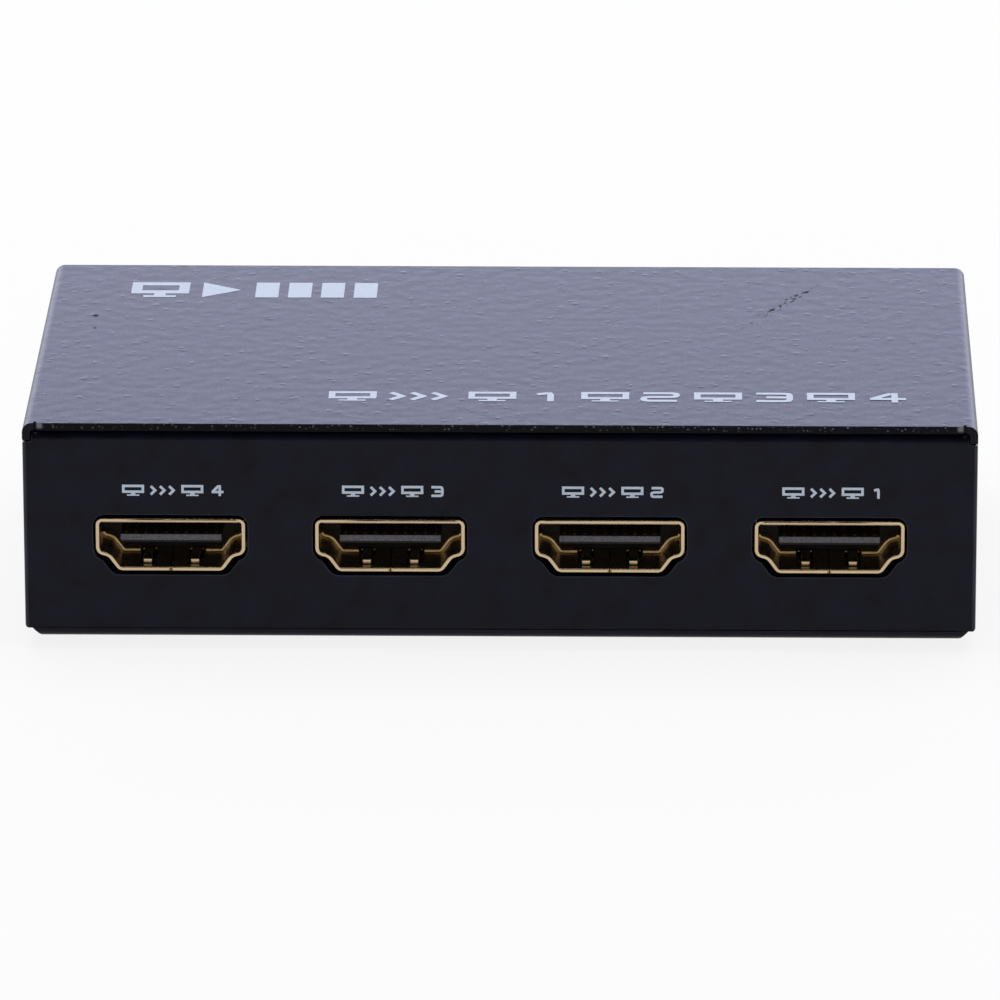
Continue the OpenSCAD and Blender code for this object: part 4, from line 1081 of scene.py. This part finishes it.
polarity = [filled(circle(0.28)), stroke(circle(0.75, start=50, sweep=260, steps=30), POLARITY_LINE)]
for start, end in (
    ((0.2, 0), (1.7, 0)),
    ((-0.75, 0), (-1.7, 0)),
    ((2.1, 0), (2.9, 0)),
    ((2.5, 0.4), (2.5, -0.4)),
    ((-2.1, 0), (-2.9, 0)),
):
    polarity.append(stroke([start, end], POLARITY_LINE))
spot = Vector((middle_x("dc_jack_body"), tray_high.y, INLET_MARK_Z))
printed("polarity_mark", polarity, spot, LEFT, UP)


# Studio
# A pale floor that the box stands on, a broad soft lamp overhead, a cool soft panel behind,
# and the camera where the picture was taken from, with a long lens.

FLOOR_HALF = 4.0
FLOOR_GLOW = 0.85
ROOM_FILL = 0.45
CEILING = 0.06
# The walls are white up to 8 degrees above the floor; up to 28 degrees they fall off to a dim ceiling.
WALL_TOP, CEILING_FROM = math.sin(math.radians(8)), math.sin(math.radians(28))
CAMERA_EL = math.radians(18.36)
CAMERA_AZ = math.radians(1.155)
CAMERA_ROLL = math.radians(-0.123)
CAMERA_AWAY = 0.9589
CAMERA_AIM = Vector((0.00003, -0.027, 0.01586))
FOCAL_PX = 9637
IMAGE_PX = 1000
SENSOR = 36


def seen_straight(tree):
    """The light path's outputs, and whether the ray comes from the camera, also through clear things."""
    path = add(tree, "ShaderNodeLightPath").outputs
    return path, maths(tree, "MAXIMUM", path["Is Camera Ray"], path["Is Transmission Ray"])


# White paper: lit plainly, and where it is seen topped up towards white, so that a faint shadow stays.
floor_finish, tree, place = new_finish("pale_paper_floor")
tone = two_tone(tree, noise(tree, place, 40), "F8F8F8", "FBFBFB")
paper = add(tree, "ShaderNodeBsdfDiffuse", {"Color": tone}).outputs[0]
glow = add(tree, "ShaderNodeEmission", {"Strength": 1.0}).outputs[0]
path, seen = seen_straight(tree)
seen = maths(tree, "MAXIMUM", seen, path["Is Glossy Ray"])
topped_up = maths(tree, "MULTIPLY", seen, FLOOR_GLOW)
surface = add(tree, "ShaderNodeMixShader", {0: topped_up, 1: paper, 2: glow}).outputs[0]
add(tree, "ShaderNodeOutputMaterial", {"Surface": surface})
build = bmesh.new()
bmesh.ops.create_grid(build, x_segments=2, y_segments=2, size=FLOOR_HALF)
floor = new_piece(build, "paper_floor", floor_finish)

room = bpy.data.worlds.new("pale_room")
room.use_nodes = True
room.node_tree.nodes.clear()
tree = room.node_tree
way = add(tree, "ShaderNodeTexCoord").outputs["Generated"]
height = add(tree, "ShaderNodeSeparateXYZ", {0: way}).outputs[2]
walls = between(tree, height, WALL_TOP, CEILING_FROM, 1.0, CEILING)
path, seen = seen_straight(tree)
lit = add(tree, "ShaderNodeMix", {0: path["Is Glossy Ray"], 2: ROOM_FILL, 3: walls}).outputs[0]
level = maths(tree, "MAXIMUM", lit, seen)
air = add(tree, "ShaderNodeBackground", {"Color": (1, 1, 1, 1), "Strength": level}).outputs[0]
add(tree, "ShaderNodeOutputWorld", {"Surface": air})
bpy.context.scene.world = room


def soft_panel(name, place, aim, wide, tall, radiance, colour):
    """A rectangular lamp of that brightness per area, facing a point."""
    lamp = bpy.data.lights.new(name, "AREA")
    lamp.shape = "RECTANGLE"
    lamp.size, lamp.size_y = wide, tall
    lamp.energy = 4 * wide * tall * radiance
    lamp.color = colour
    panel = bpy.data.objects.new(name, lamp)
    panel.location = place
    panel.rotation_mode = "QUATERNION"
    panel.rotation_quaternion = (Vector(aim) - Vector(place)).to_track_quat("-Z", "Y")
    panel.visible_camera = False
    bpy.context.scene.collection.objects.link(panel)


NEUTRAL, COOL = (1.0, 1.0, 1.0), (0.91, 0.95, 1.44)
soft_panel(
    "overhead_panel", (0.0, 0.2, 1.3), aim=(0, 0, 0), wide=1.2, tall=1.2, radiance=1.5, colour=NEUTRAL
)
soft_panel(
    "cool_rear_panel", (0.0, 1.0, 0.302), aim=(0, 0, 0.02), wide=1.4, tall=0.61, radiance=1.375, colour=COOL
)

level = math.cos(CAMERA_EL)
back = Vector((math.sin(CAMERA_AZ) * level, -math.cos(CAMERA_AZ) * level, math.sin(CAMERA_EL)))
side = (-back).cross(UP).normalized()
right = side * math.cos(CAMERA_ROLL) + side.cross(-back) * math.sin(CAMERA_ROLL)
axes = Matrix((right, back.cross(right), back)).transposed().to_4x4()
camera_data = bpy.data.cameras.new("bench_camera")
camera_data.sensor_width = SENSOR
camera_data.lens = SENSOR * FOCAL_PX / IMAGE_PX
camera = bpy.data.objects.new("bench_camera", camera_data)
camera.matrix_world = Matrix.Translation(CAMERA_AIM + back * CAMERA_AWAY) @ axes
bpy.context.scene.collection.objects.link(camera)
bpy.context.scene.camera = camera
bpy.context.scene.view_settings.view_transform = "Standard"
